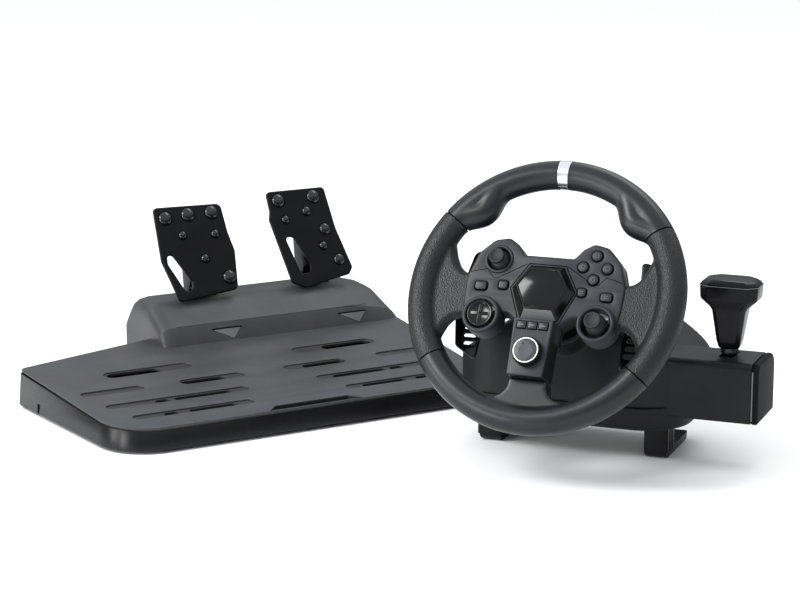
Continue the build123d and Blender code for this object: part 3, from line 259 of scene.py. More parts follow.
def rounded(corners, step=12):
    """A closed outline from (x, y, radius) corners, each rounded by an arc."""
    points = []
    for i, (x, y, r) in enumerate(corners):
        here = Vector((x, y))
        to_last = Vector(corners[i - 1][:2]) - here
        to_next = Vector(corners[(i + 1) % len(corners)][:2]) - here
        if r <= 0:
            points.append((x, y))
            continue
        a, b = to_last.normalized(), to_next.normalized()
        half = acos(max(-1, min(1, a.dot(b)))) / 2
        reach = min(r / tan(half), 0.49 * to_last.length, 0.49 * to_next.length)
        radius = reach * tan(half)
        centre = here + (a + b).normalized() * (radius / sin(half))
        start, end = here + a * reach - centre, here + b * reach - centre
        turn = start.angle_signed(end)
        steps = max(2, int(abs(degrees(turn)) / step) + 1)
        for k in range(steps + 1):
            angle = -turn * k / steps
            c, s = cos(angle), sin(angle)
            points.append((centre.x + start.x * c - start.y * s, centre.y + start.x * s + start.y * c))
    return points


def rect(x0, y0, x1, y1, r, step=12):
    """A rectangle from two opposite corners, with all its corners rounded."""
    return rounded([(x0, y0, r), (x1, y0, r), (x1, y1, r), (x0, y1, r)], step)


def circle(x, y, r, count=40):
    """A round outline."""
    return [(x + r * cos(2 * pi * k / count), y + r * sin(2 * pi * k / count)) for k in range(count)]


def stadium(x, y, length, width, count=10):
    """An outline with two parallel sides and round ends."""
    r = width / 2
    half = length / 2 - r
    ends = [(x + half + r * cos(a),
             y + r * sin(a)) for a in (pi * (k / count - 0.5) for k in range(count + 1))]
    return ends + [(2 * x - px, 2 * y - py) for px, py in ends]


def mirrored(half):
    """A closed outline from its right half, listed from the top centre to the bottom centre."""
    left = [(-x, y, r) for x, y, r in reversed(half) if abs(x) > 1e-6]
    return half + left


def flat(outline, z):
    """An outline as a loop of 3-D points at one height."""
    return [(x, y, z) for x, y in outline]


def curve_mesh(name, loops, cyclic, **settings):
    """A mesh from straight-sided curves."""
    curve = bpy.data.curves.new(name, "CURVE")
    for key, value in settings.items():
        setattr(curve, key, value)
    for loop in loops:
        spline = curve.splines.new("POLY")
        spline.points.add(len(loop) - 1)
        for point, p in zip(spline.points, loop):
            point.co = (*p, 1)
        spline.use_cyclic_u = cyclic
    temp = new_object(name + "_curve", curve)
    mesh = evaluated(temp)
    bpy.data.objects.remove(temp)
    bpy.data.curves.remove(curve)
    mesh.name = name
    return mesh


def plate(name, outline, z0, z1, unit, mat, holes=(), bevel=1.0, segments=3, angle=35):
    """A flat plate with holes and rounded edges, from filled outlines."""
    bevel = min(bevel, (z1 - z0) / 2 - 0.01)
    mesh = curve_mesh(name, [flat(loop, 0) for loop in (outline, *holes)], True, dimensions="2D",
                      fill_mode="BOTH", extrude=(z1 - z0) / 2 - bevel, bevel_depth=bevel, offset=-bevel,
                      bevel_resolution=segments)
    mesh.transform(unit @ Matrix.Translation((0, 0, (z0 + z1) / 2)))
    return finish_mesh(new_object(name, cleaned(mesh, 2e-6)), mat, angle)


def tube(name, points, radius, unit, mat, cyclic=False, resolution=4):
    """A round bar along a line of points."""
    mesh = curve_mesh(name, [points], cyclic, dimensions="3D", bevel_depth=radius,
                      bevel_resolution=resolution, use_fill_caps=True)
    mesh.transform(unit)
    return finish_mesh(new_object(name, mesh), mat, 60)


def lathe(name, profile, unit, mat, count=64, angle=35, ripple=0.0, teeth=0):
    """A turned piece from an (r, z) profile; ripple cuts flutes where a point has a third value."""
    verts, faces = [], []
    n = len(profile)
    for k in range(count):
        a = 2 * pi * k / count
        for r, z, *share in profile:
            if share:
                r -= share[0] * ripple * (0.5 - 0.5 * cos(a * teeth))
            verts.append((r * cos(a), r * sin(a), z))
        here, there = k * n, (k + 1) % count * n
        faces += [(here + i, there + i, there + i + 1, here + i + 1) for i in range(n - 1)]
    return mesh_object(name, verts, faces, unit, mat, angle)


def stack(name, loops, unit, mat, angle=35, cap=True):
    """A lofted piece from equal-length loops of 3-D points."""
    n = len(loops[0])
    verts = [p for loop in loops for p in loop]
    faces = []
    for level in range(len(loops) - 1):
        for i in range(n):
            j = (i + 1) % n
            a, b = level * n, (level + 1) * n
            faces.append((a + i, a + j, b + j, b + i))
    if cap:
        faces.append(tuple(reversed(range(n))))
        top = (len(loops) - 1) * n
        faces.append(tuple(range(top, top + n)))
    return mesh_object(name, verts, faces, unit, mat, angle)


def joined(name, objects):
    """Several objects as one, keeping their materials and shading."""
    bm = bmesh.new()
    mats = []
    for obj in objects:
        offset_faces = len(bm.faces)
        bm.from_mesh(obj.data)
        bm.faces.ensure_lookup_table()
        for mat in obj.data.materials:
            if mat not in mats:
                mats.append(mat)
        for face in bm.faces[offset_faces:]:
            face.material_index = mats.index(obj.data.materials[face.material_index])
    mesh = written(bm, bpy.data.meshes.new(name))
    for mat in mats:
        mesh.materials.append(mat)
    for obj in objects:
        bpy.data.objects.remove(obj)
    return new_object(name, mesh)


def assemble(name, objects, body, slot, *nodes):
    """Joins objects into one piece and places it."""
    return place(joined(name, objects), body, slot, *nodes)


def blended(name, objects, voxel, smoothing, mat):
    """Closed shapes melted into one skin with soft fillets between them."""
    whole = joined(name, objects)
    remesh = whole.modifiers.new("remesh", "REMESH")
    remesh.mode = "VOXEL"
    remesh.voxel_size = voxel * MM
    smooth = whole.modifiers.new("smooth", "SMOOTH")
    smooth.factor = 0.5
    smooth.iterations = smoothing
    return finish_mesh(applied(whole), mat, 180)


def cut_copy(source, name, planes, mat, unit):
    """A copy of a mesh kept on the inner side of local planes, each (point, outward normal), and closed."""
    bm = bmesh.new()
    bm.from_mesh(source.data)
    for point, normal in planes:
        world_point = unit @ Vector(point)
        world_normal = (unit.to_3x3() @ Vector(normal)).normalized()
        geometry = bm.verts[:] + bm.edges[:] + bm.faces[:]
        cut = bmesh.ops.bisect_plane(bm, geom=geometry, plane_co=world_point, plane_no=world_normal,
                                     clear_outer=True)
        edges = [e for e in cut["geom_cut"] if isinstance(e, bmesh.types.BMEdge)]
        bmesh.ops.holes_fill(bm, edges=edges)
    return finish_mesh(new_object(name, written(bm, bpy.data.meshes.new(name))), mat, 50)


def carve(obj, cutters, mat, angle=35):
    """Cuts closed shapes out of a closed piece."""
    for cutter in cutters:
        cut = obj.modifiers.new("cut", "BOOLEAN")
        cut.operation = "DIFFERENCE"
        cut.solver = "EXACT"
        cut.object = cutter
    applied(obj)
    for cutter in cutters:
        bpy.data.objects.remove(cutter)
    return finish_mesh(obj, mat, angle)


def even_shading(obj):
    """A piece whose large faces keep their own shading beside small ones."""
    normals = obj.modifiers.new("normals", "WEIGHTED_NORMAL")
    normals.keep_sharp = True
    normals.weight = 80
    return applied(obj)


def edge_bevel(obj, width, angle, segments):
    """A modifier that rounds a piece's sharp edges, in millimetres and degrees."""
    bevel = obj.modifiers.new("edges", "BEVEL")
    bevel.width = width * MM
    bevel.segments = segments
    bevel.limit_method = "ANGLE"
    bevel.angle_limit = radians(angle)




# ---- wheel
RIM_R, GRIP_R = 125.5, 14.5
TOP_JOINT, LOW_JOINT, JOINT_GAP, MARKER_HALF = 34.0, 35.0, 0.35, 2.7
THUMB_ANGLE, THUMB_SPREAD, THUMB_BULGE = 46.5, 8.0, 12.8
WEB_BACK, WEB_FRONT, WEB_END_X, WEB_EDGE_R = -11.0, 6.0, 68, 8.2
THUMB_BALL_R, RIM_VOXEL, RIM_SMOOTHING = 14.25, 1.15, 14
GROOVE_R, GROOVE_HALF, PLEAT_BAR = 13.3, 0.6, 0.32


def polar(radius, angle, z=0.0):
    """A point on the wheel from its angle in degrees, anticlockwise from the right."""
    return (radius * cos(radians(angle)), radius * sin(radians(angle)), z)


def rim_point(radius, a, i, count):
    """The i-th of count points round the rim's tube, at an angle in radians round the wheel."""
    phi = 2 * pi * i / count
    r = RIM_R + radius * cos(phi)
    return (r * cos(a), r * sin(a), radius * sin(phi))


def rim_tube(name, radius, start, end, mat, count=200):
    """A length of the rim's tube."""
    verts, faces = [], []
    around = 48
    for k in range(count + 1):
        a = radians(start + (end - start) * k / count)
        verts += [rim_point(radius, a, i, around) for i in range(around)]
    for k in range(count):
        for i in range(around):
            j = (i + 1) % around
            faces.append((k * around + i, k * around + j, (k + 1) * around + j, (k + 1) * around + i))
    faces.append(tuple(range(around)))
    faces.append(tuple(reversed(range(count * around, (count + 1) * around))))
    return mesh_object(name, verts, faces, WHEEL, mat, 60)


def ball(name, centre, radius, unit, mat):
    """A plain sphere, used only as clay for a blended shape."""
    profile = [(radius * cos(a), radius * sin(a)) for a in (pi * (k / 16 - 0.5) for k in range(17))]
    profile[0], profile[-1] = (0, -radius), (0, radius)
    return lathe(name, profile, at(unit, *centre), mat, count=24)


def slab(name, outline, z0, z1, unit, mat):
    """A plain prism, used only as clay for a blended shape."""
    return stack(name, [flat(outline, z0), flat(outline, z1)], unit, mat)


def rim_clay():
    """The rim, its thumb rests, both spoke webs and the foot of the bottom spoke, before blending."""
    clay = [rim_tube("clay_rim", GRIP_R, 0, 359.999, SMOOTH_LEATHER)]
    for side in (0, 1):
        for step in range(-22, 23):
            degree = THUMB_ANGLE + step / 2
            inset = THUMB_BULGE * exp(-(step / 2 / THUMB_SPREAD) ** 2)
            angle = 180 - degree if side else degree
            clay.append(ball("clay_thumb", polar(RIM_R - inset, angle), THUMB_BALL_R, WHEEL, SMOOTH_LEATHER))
    for s in (-1, 1):
        web = rounded([(66, -25, 0), (66, 15, 0), (86, 14, 6), (98, 22, 20), (107, 52, 0), (122, 40, 0),
                       (122, -50, 0), (105, -62, 0), (100, -36, 20), (88, -25, 6)])
        clay.append(slab("clay_web", [(s * x, y) for x, y in web], WEB_BACK, WEB_FRONT, WHEEL,
                         GRAINED_LEATHER))
        upper = [(68, 10), (80, 9), (90, 12), (98, 19), (104, 30), (108, 42), (112, 54)]
        lower = [(68, -19), (82, -20), (93, -24), (101, -33), (106, -45), (110, -56)]
        for path in (upper, lower):
            line = [(s * x, y, -2.5) for x, y in path]
            clay.append(tube("clay_edge", line, WEB_EDGE_R, WHEEL, GRAINED_LEATHER))
    foot = rounded([(-19, -86.6, 0), (19, -86.6, 0), (20, -96, 4), (25, -104, 12), (52, -110, 0),
                    (40, -122, 0),
                    (-40, -122, 0), (-52, -110, 0), (-25, -104, 12), (-20, -96, 4)])
    clay.append(slab("clay_foot", foot, -11, 9, WHEEL, SMOOTH_LEATHER))
    return clay


def wedge(start, end):
    """The two planes that bound a stretch of the rim, in degrees."""
    a, b = radians(start), radians(end)
    return [((0, 0, 0), (sin(a), -cos(a), 0)), ((0, 0, 0), (-sin(b), cos(b), 0))]


def make_rim():
    """The five grips, cut from one blended skin, with dark grooves between them."""
    skin = blended("rim_skin", rim_clay(), RIM_VOXEL, RIM_SMOOTHING, SMOOTH_LEATHER)
    gap = JOINT_GAP
    inner = ((WEB_END_X, 0, 0), (-1, 0, 0))
    inner_left = ((-WEB_END_X, 0, 0), (1, 0, 0))
    parts = [
        ("rim_upper_right", wedge(TOP_JOINT + gap, 90 - MARKER_HALF), SMOOTH_LEATHER, "smooth_leather",
         ("grip_top_right",)),
        ("rim_upper_left", wedge(90 + MARKER_HALF, 180 - TOP_JOINT - gap), SMOOTH_LEATHER, "smooth_leather",
         ("grip_top_left",)),
        ("rim_side_right", wedge(-LOW_JOINT + gap, TOP_JOINT - gap) + [inner], GRAINED_LEATHER,
         "grained_leather", ("grip_side_right", "spoke_web_right")),
        ("rim_side_left", wedge(180 - TOP_JOINT + gap, 180 + LOW_JOINT - gap) + [inner_left], GRAINED_LEATHER,
         "grained_leather", ("grip_side_left", "spoke_web_left")),
        ("rim_bottom", wedge(180 + LOW_JOINT + gap, 360 - LOW_JOINT - gap), SMOOTH_LEATHER,
         "smooth_leather", ("grip_bottom",)),
    ]
    for name, planes, mat, slot, nodes in parts:
        place(cut_copy(skin, name, planes, mat, WHEEL), "wheel", slot, *nodes)
    bpy.data.objects.remove(skin)
    for label, angle in (("ur", TOP_JOINT), ("ul", 180 - TOP_JOINT), ("ll", 180 + LOW_JOINT),
                         ("lr", -LOW_JOINT)):
        dark_joint_mark_and_shade = rim_tube("rim_joint_" + label, GROOVE_R, angle - GROOVE_HALF, angle + GROOVE_HALF, DARK_JOINT_MARK_AND_SHADE,
                          count=2)
        place(dark_joint_mark_and_shade, "wheel", "textured_black")
    for side, base in (("right", 90 - MARKER_HALF), ("left", 90 + MARKER_HALF)):
        sign = -1 if side == "right" else 1
        pleats = [ring_bar("pleat", GRIP_R + 0.02 - 0.25 * step, base + sign * step, PLEAT_BAR,
                           SMOOTH_LEATHER)
                  for step in (0.5, 1.35)]
        assemble("rim_pleats_" + side, pleats, "wheel", "smooth_leather")


def ring_bar(name, radius, angle, bar, mat):
    """A thin hoop round the rim's tube at one angle."""
    a = radians(angle)
    points = [rim_point(radius, a, i, 48) for i in range(48)]
    return tube(name, points, bar, WHEEL, mat, cyclic=True, resolution=2)


# ---- hub
HUB_BACK, HUB_FACE, HUB_REAR = -9.0, 8.0, -28.0
POD_X, POD_Y, POD_R, POD_BORE, POD_TOP = 58.0, -27.0, 19.0, 14.5, 14.0
POD_CUT_R, SCREW_R, LUG_HALF = 16, 3.2, 2
STICK_X, STICK_Y, STICK_WELL_R = -50.5, 31.5, 12.9
CONSOLE_TOP, CONSOLE_LOW, CONSOLE_FACE = -30.0, -87.0, 22.0
KNOB_Y, ROW_X = -64.0, 11


def hub_outline(grow=0.0):
    """The hub's outline, with its corners rounded."""
    g = grow
    half = [(0, 38 + g, 0), (25, 38 + g, 5), (33, 48 + g, 6), (43, 54.4 + g, 8), (58 + g, 51.5 + g, 12),
            (72.5 + g, 37 + g, 14), (80.6 + g, 12, 30), (79.5 + g, -14, 20), (76.5 + g, -28, 6), (58, -30, 0),
            (41.5, -21.5 - g, 4), (33, -21.5 - g, 8), (20 + g, -31, 6), (20 + g, -48 - g, 0), (0, -48 - g, 0)]
    return rounded(mirrored(half))


BUTTONS = {
    "button_up": (47.8, 42.0, 5.0), "button_right": (60.0, 29.8, 5.0), "button_down": (47.8, 17.6, 5.0),
    "button_left": (35.6, 29.8, 5.0), "menu_button_right": (38.5, 4.0, 8.0, 8.0),
    "mode_button_right": (63.5, 1.0, 11.0, 8.0), "menu_button_left": (-41.5, 5.5, 9.0, 8.0),
    "mode_button_left": (-64.0, 3.0, 11.5, 8.0),
}


def button_outline(spec, grow=0.0):
    """The outline of one push button."""
    if len(spec) == 3:
        return circle(spec[0], spec[1], spec[2] + grow, 36)
    x, y, w, h = spec
    w, h = w / 2 + grow, h / 2 + grow
    r = 2.4 + grow
    return rect(x - w, y - h, x + w, y + h, r, 15)


def make_hub():
    """Front and rear covers, rings round the controls and engraved lines."""
    holes = [button_outline(spec, 0.3) for spec in BUTTONS.values()]
    holes.append(circle(STICK_X, STICK_Y, STICK_WELL_R))
    face = plate("hub_front", hub_outline(), HUB_BACK, HUB_FACE, WHEEL, HUB_PLASTIC, holes, bevel=2.2,
                 segments=4)
    bores = [slab("bore", circle(side * POD_X, POD_Y, POD_CUT_R), HUB_BACK - 1, HUB_FACE + 1, WHEEL, DARK_JOINT_MARK_AND_SHADE)
             for side in (-1, 1)]
    face = carve(face, bores, HUB_PLASTIC)
    rims = []
    for side in (-1, 1):
        pod = at(WHEEL, side * POD_X, POD_Y)
        wall = [(POD_R, HUB_BACK), (POD_R, POD_TOP - 2.2), (18.6, POD_TOP - 1.0), (17.8, POD_TOP - 0.2),
                (16.9, POD_TOP), (15.6, POD_TOP - 0.1), (14.9, POD_TOP - 0.6), (POD_BORE, POD_TOP - 1.6),
                (POD_BORE, HUB_BACK + 2), (0, HUB_BACK + 2), (0, HUB_BACK), (POD_R, HUB_BACK)]
        rims.append(lathe("pod", wall, pod, HUB_PLASTIC))
    well = at(WHEEL, STICK_X, STICK_Y)
    ring = [(14.6, HUB_FACE - 1), (14.6, HUB_FACE + 0.4), (14.1, HUB_FACE + 1.2), (13.2, HUB_FACE + 1.5),
            (12.2, HUB_FACE + 1.3), (11.6, HUB_FACE + 0.5), (11.5, HUB_FACE - 2.2),
            (STICK_WELL_R, HUB_FACE - 2.8), (STICK_WELL_R, HUB_BACK + 4), (0, HUB_BACK + 4),
            (0, HUB_BACK + 3), (13.6, HUB_BACK + 3), (14.6, HUB_FACE - 1)]
    rims.append(lathe("well", ring, well, HUB_PLASTIC))
    assemble("hub_front_shell", [face, *rims], "wheel", "charcoal_plastic", "hub_front_cover")

    # The engraved lines and the rings round the buttons are near-black tubes: painted shade inside the
    # grooves and the gaps.
    line = [(-77.5, 16.5), (-60.5, 21.0), (-53.5, 12.5), (-48.5, 12.5), (-21, 28.8)]
    lines = []
    for side in (1, -1):
        path = [(side * x, y, HUB_FACE - 0.1) for x, y in line]
        lines.append(tube("engraving", path, 0.42, WHEEL, DARK_JOINT_MARK_AND_SHADE, resolution=2))
    hexagon = [(-18.6, 29.4), (18.6, 29.4), (34.0, 3.4), (20.4, -29.4), (-20.4, -29.4), (-34.0, 3.4)]
    lines.append(tube("engraving", flat(hexagon, HUB_FACE - 0.05), 0.6, WHEEL, DARK_JOINT_MARK_AND_SHADE,
                      cyclic=True, resolution=2))
    for spec in BUTTONS.values():
        loop = flat(button_outline(spec, 0.45), HUB_FACE - 0.25)
        lines.append(tube("engraving", loop, 0.3, WHEEL, DARK_JOINT_MARK_AND_SHADE, cyclic=True, resolution=2))
    assemble("hub_engraved_lines", lines, "wheel", "charcoal_plastic")

    rear = [plate("rear_a", hub_outline(), -17, HUB_BACK - 0.3, WHEEL, DARK_PLASTIC, bevel=1.8),
            plate("rear_b", hub_outline(-5), HUB_REAR, -16.5, WHEEL, DARK_PLASTIC,
                  [circle(0, 0, 9)], bevel=3.5, segments=4)]
    for side in (-1, 1):
        for y in (-14, 14):
            lug = rounded([(29.5, -39, 3), (38.5, -39, 3), (38.5, -27, 0), (29.5, -27, 0)])
            ends = [[(side * x, y + end, z) for x, z in lug] for end in (-LUG_HALF, LUG_HALF)]
            rear.append(stack("lug", ends, WHEEL, DARK_PLASTIC))
        pin = at(WHEEL, side * 34, -17, -34, -90)
        rear.append(lathe("pin", [(0, 0), (1.6, 0), (2, 0.4), (2, 33.6), (1.6, 34), (0, 34)], pin, STEEL,
                          count=20))
        for y in (-30, 24):
            rear.append(screw_head(at(WHEEL, side * 52, y, HUB_REAR, 180), SCREW_R))
    assemble("hub_rear_shell", rear, "wheel", "black_plastic", "hub_rear_cover")


def screw_head(unit, radius):
    """A countersunk cross-head screw, sunk in a dark recess."""
    return lathe("head", [(radius + 0.9, -0.6), (radius + 0.9, 0.05), (radius, -0.05), (radius, -0.35),
                          (radius * 0.95, -0.15), (radius * 0.6, 0.1), (0.9, 0.12), (0.7, -0.8), (0, -0.9)],
                 unit, STEEL, count=28)


def make_screen():
    """The faceted bezel, its lower strip painted light grey as a highlight, and the window."""
    outer = [(-17, 27.6), (17, 27.6), (32, 3.3), (18.6, -27.7), (-18.6, -27.7), (-32, 3.3)]
    inner = [(-15, 22.4), (15, 22.4), (26, 4.2), (14, -18), (-14, -18), (-26, 4.2)]
    centre = Vector((0, 3.5))

    def loop(points, grow, z):
        return [(*(centre + (Vector(p) - centre) * grow), z) for p in points]

    z0, z1 = HUB_FACE, HUB_FACE + 9
    frame_ring = stack("screen_frame", [loop(outer, 1.0, z0), loop(outer, 1.0, z0 + 1.2),
                                        loop(inner, 1.0, z1),
                                        loop(inner, 0.93, z1), loop(inner, 0.92, z1 - 2.2),
                                        loop(inner, 0.2, z1 - 2.2)],
                       WHEEL, GLOSS_BLACK, angle=12)
    edge_bevel(frame_ring, 0.5, 12, 2)
    place(frame_ring, "wheel", "gloss_black", "screen_bezel")
    # The lower facet is painted light grey: a painted highlight on the gloss black bezel.
    strip = [(-17.6, -26.6, z0 + 1.8), (17.6, -26.6, z0 + 1.8), (13.8, -19, z1 - 0.5), (-13.8, -19, z1 - 0.5)]
    lifted = [(x, y - 0.25, z + 0.35) for x, y, z in strip]
    place(stack("screen_lower_strip", [strip, lifted], WHEEL, BEZEL_HIGHLIGHT_GREY), "wheel", "gloss_black")
    cheek = [(-30.6, 2.6, z0 + 1.9), (-18.4, -26.4, z0 + 1.9), (-14.8, -18.4, z1 - 0.4), (-26, 3, z1 - 0.4)]
    raised = [(x - 0.3, y - 0.15, z + 0.3) for x, y, z in cheek]
    place(stack("screen_left_facet", [cheek, raised], WHEEL, DARK_PLASTIC), "wheel", "gloss_black")
    glass = plate("screen_window", [tuple(p[:2]) for p in loop(inner, 0.925, 0)], z1 - 2.2, z1 - 0.5, WHEEL,
                  SCREEN, bevel=0.5)
    place(glass, "wheel", "screen", "screen_glass")


def make_console():
    """The console panel with the row of small buttons and the rotary knob."""
    outline = rounded([(-20, CONSOLE_TOP, 1.5), (20, CONSOLE_TOP, 1.5), (18, CONSOLE_LOW, 2),
                       (-18, CONSOLE_LOW, 2)])
    holes = [rect(x - 4.8, -40.8, x + 4.8, -33.2, 0.8) for x in (-ROW_X, 0, ROW_X)]
    panel = plate("panel", outline, CONSOLE_FACE - 3, CONSOLE_FACE, WHEEL, HUB_PLASTIC, holes, bevel=1.0)
    walls = slab("walls", outline, HUB_FACE, CONSOLE_FACE - 2.6, WHEEL, DARK_PLASTIC)
    skirt = rounded([(-18, -48.3, 1), (18, -48.3, 1), (18, CONSOLE_LOW, 2), (-18, CONSOLE_LOW, 2)])
    lower = slab("lower", skirt, -11, HUB_FACE, WHEEL, DARK_PLASTIC)
    assemble("console_shell", [panel, walls, lower], "wheel", "charcoal_plastic", "console_panel")
    for name, x in (("row_button_left", -ROW_X), ("row_button_middle", 0), ("row_button_right", ROW_X)):
        cap = rect(x - 4.5, -40.5, x + 4.5, -33.5, 1)
        key = plate(name + "_cap", cap, CONSOLE_FACE - 3.2, CONSOLE_FACE + 1.4, WHEEL, BUTTON_BLACK,
                    bevel=0.8)
        bar = rect(x - 2.2, -37.5, x + 2.2, -36.5, 0.4)
        mark = plate(name + "_mark", bar, CONSOLE_FACE + 1.0, CONSOLE_FACE + 1.5, WHEEL, MARK_AND_HIGHLIGHT_GREY, bevel=0.2)
        assemble(name + "_key", [key, mark], name, "button_black", name)
    knob = at(WHEEL, 0, KNOB_Y)
    skirt = [(0, 22.4), (13.6, 22.4), (14.5, 23.2, 1), (14.5, 28.6, 1), (14.0, 29.8, 1), (13.2, 30.5),
             (12.6, 30.6)]
    drum = lathe("knob_drum", skirt, knob, DARK_PLASTIC, count=216, ripple=0.9, teeth=36)
    glow = lathe("knob_ring", [(12.6, 30.3), (12.5, 30.8), (12.2, 31.0), (11.8, 31.0), (11.5, 30.8),
                               (11.4, 30.3)],
                 knob, LIGHT_RING)
    cap = lathe("knob_cap", [(11.5, 30.1), (11.4, 30.4), (11, 30.6), (6, 30.45), (0, 30.35)], knob, KNOB_FACE)
    dot = lathe("knob_dot", [(0, 30.2), (0.9, 30.3), (0.7, 30.75), (0, 30.8)], at(WHEEL, -3.5, KNOB_Y + 6.5),
                DARK_JOINT_MARK_AND_SHADE)
    assemble("console_knob", [drum, glow, cap, dot], "knob", "knob_grey", "rotary_knob")


def stick_profile(cap_r, height):
    """A thumb stick from its dome to its dished cap, above its pivot."""
    dome = [(12 * cos(a), 12 * sin(a)) for a in (radians(30 + 8 * k) for k in range(6))]
    return [(10.2, 5.6)] + dome + [
        (3.9, height - 10.5), (3.7, height - 7), (4.4, height - 5), (cap_r * 0.8, height - 4.2),
        (cap_r - 0.4, height - 3.8, 1), (cap_r, height - 3.2, 1), (cap_r, height - 0.9, 1),
        (cap_r - 0.5, height - 0.15, 1), (cap_r - 1.3, height), (cap_r - 2.0, height - 0.25),
        (cap_r - 3.4, height - 1.1), (cap_r - 5, height - 1.5), (0, height - 1.6)]


def make_controls():
    """Caps of the push buttons, the two sticks and the direction pad."""
    for name, spec in BUTTONS.items():
        top = HUB_FACE + 1.8
        cap = plate(name + "_top", button_outline(spec), HUB_FACE - 5.8, top, WHEEL, BUTTON_BLACK, bevel=0.9,
                    segments=4)
        parts = [cap]
        x, y = spec[0], spec[1]
        if len(spec) == 3:
            parts.append(tube("symbol", flat(circle(x, y, 2.1, 24), top - 0.02), 0.22, WHEEL, MARK_AND_HIGHLIGHT_GREY,
                              cyclic=True, resolution=1))
        else:
            for k in (-1.1, 1.1):
                parts.append(tube("symbol", [(x - 1.8, y + k, top - 0.02), (x + 1.8, y + k, top - 0.02)],
                                  0.22,
                                  WHEEL, MARK_AND_HIGHLIGHT_GREY, resolution=1))
        assemble(name + "_cap", parts, name, "button_black", name)
    for name, x, y, z, cap_r in (("stick_left", STICK_X, STICK_Y, -2, 8.0),
                                 ("stick_right", POD_X, POD_Y, 3, 8.5)):
        unit = at(WHEEL, x, y, z)
        stick = lathe(name + "_lever", stick_profile(cap_r, 22), unit, SOFT_RUBBER, count=120, ripple=0.35,
                      teeth=40,
                      angle=50)
        place(stick, name, "soft_black", name)
    pad = at(WHEEL, -POD_X, POD_Y, 8.4)
    dish = [(11.5, 3.8), (13.0, 4.0), (13.2, 4.8), (13.1, 6.4), (12.6, 7.1), (11.8, 7.3), (10.6, 6.9),
            (8, 6.25),
            (4, 5.85), (0, 5.75)]
    parts = [lathe("dish", dish, pad, GLOSS_BLACK, angle=50)]
    for turn in (0, 90):
        arm = pad @ Matrix.Rotation(radians(turn), 4, "Z")
        cross = rect(-9.4, -1.9, 9.4, 1.9, 0.8)
        parts.append(plate("cross", cross, 5.4, 6.6, arm, GLOSS_BLACK, bevel=0.5))
    assemble("direction_dish", parts, "direction_pad", "gloss_black", "direction_pad")


def make_paddles():
    """The two gear-change paddles, with ribs on their faces."""
    blade = [(74, -60, 3), (97, -47, 6), (103, -12, 20), (99, 24, 20), (93, 52, 8), (79, 55, 4), (82, 26, 20),
             (76, 4, 8), (72, -30, 10)]
    for name, side in (("left", -1), ("right", 1)):
        outline = [(side * x, y) for x, y in rounded(blade)]
        slots = [stadium(side * (84 - abs(y + 30) / 8), y, 13, 3.6, 6) for y in (-19, -27, -35, -43)]
        parts = [plate("blade", outline, -42, -38, WHEEL, GLOSS_BLACK, slots, bevel=1.2, segments=4)]
        arm = [(side * x, y) for x, y in rounded([(35, -10, 2), (80, -9, 3), (80, 9, 3), (35, 10, 2)])]
        parts.append(plate("arm", arm, -41.9, -38.1, WHEEL, DARK_PLASTIC, bevel=1.0))
        barrel = at(WHEEL, side * 34, -11.7, -34, -90)
        parts.append(lathe("barrel", [(2.06, 0), (4.4, 0), (5, 0.6), (5, 22.8), (4.4, 23.4), (2.06, 23.4)],
                           barrel,
                           DARK_PLASTIC, count=28))
        for y in (14, 22, 30):
            rib = stadium(side * 89, y, 11, 2.6, 6)
            parts.append(plate("rib", rib, -38.4, -36.9, WHEEL, GLOSS_BLACK, bevel=0.6))
        assemble("paddle_blade_" + name, parts, "paddle_" + name, "gloss_black", "paddle_" + name)


# ---- wheel base
BODY_X, BODY_Y0, BODY_Y1 = 122.0, 58.0, 206.0
BODY_Z0, SPLIT_Z, BODY_Z1 = 36.0, 60.0, 146.0
SHOULDER_X, SHOULDER_Z, CROWN_R = 46.0, 94.0, 28
BODY_VOXEL, BODY_SMOOTHING = 1.6, 6
BOX_X0, BOX_X1, CAP_X1 = 104.0, 189.0, 196.0
SHIFT_X, SHIFT_Y = 158.0, 107.0
CLAMP_X, CLAMP_TOP, CLAMP_HALF, TOOTH_PITCH = 89.0, 86.0, 12.5, 5.6
# local X and Y run along a base's Y and Z, and local Z along its X
SIDEWAYS = Matrix(((0, 0, 1, 0), (1, 0, 0, 0), (0, 1, 0, 0), (0, 0, 0, 1)))


def body_loop(inset, z):
    """The wheel base's plan outline at one height."""
    x, y0, y1 = BODY_X - inset, BODY_Y0 + inset, BODY_Y1 - inset
    front, rear = max(4, 52 - inset), max(3, 30 - inset)
    return flat(rounded([(-x, y0, front), (x, y0, front), (x, y1, rear), (-x, y1, rear)], 9), z)


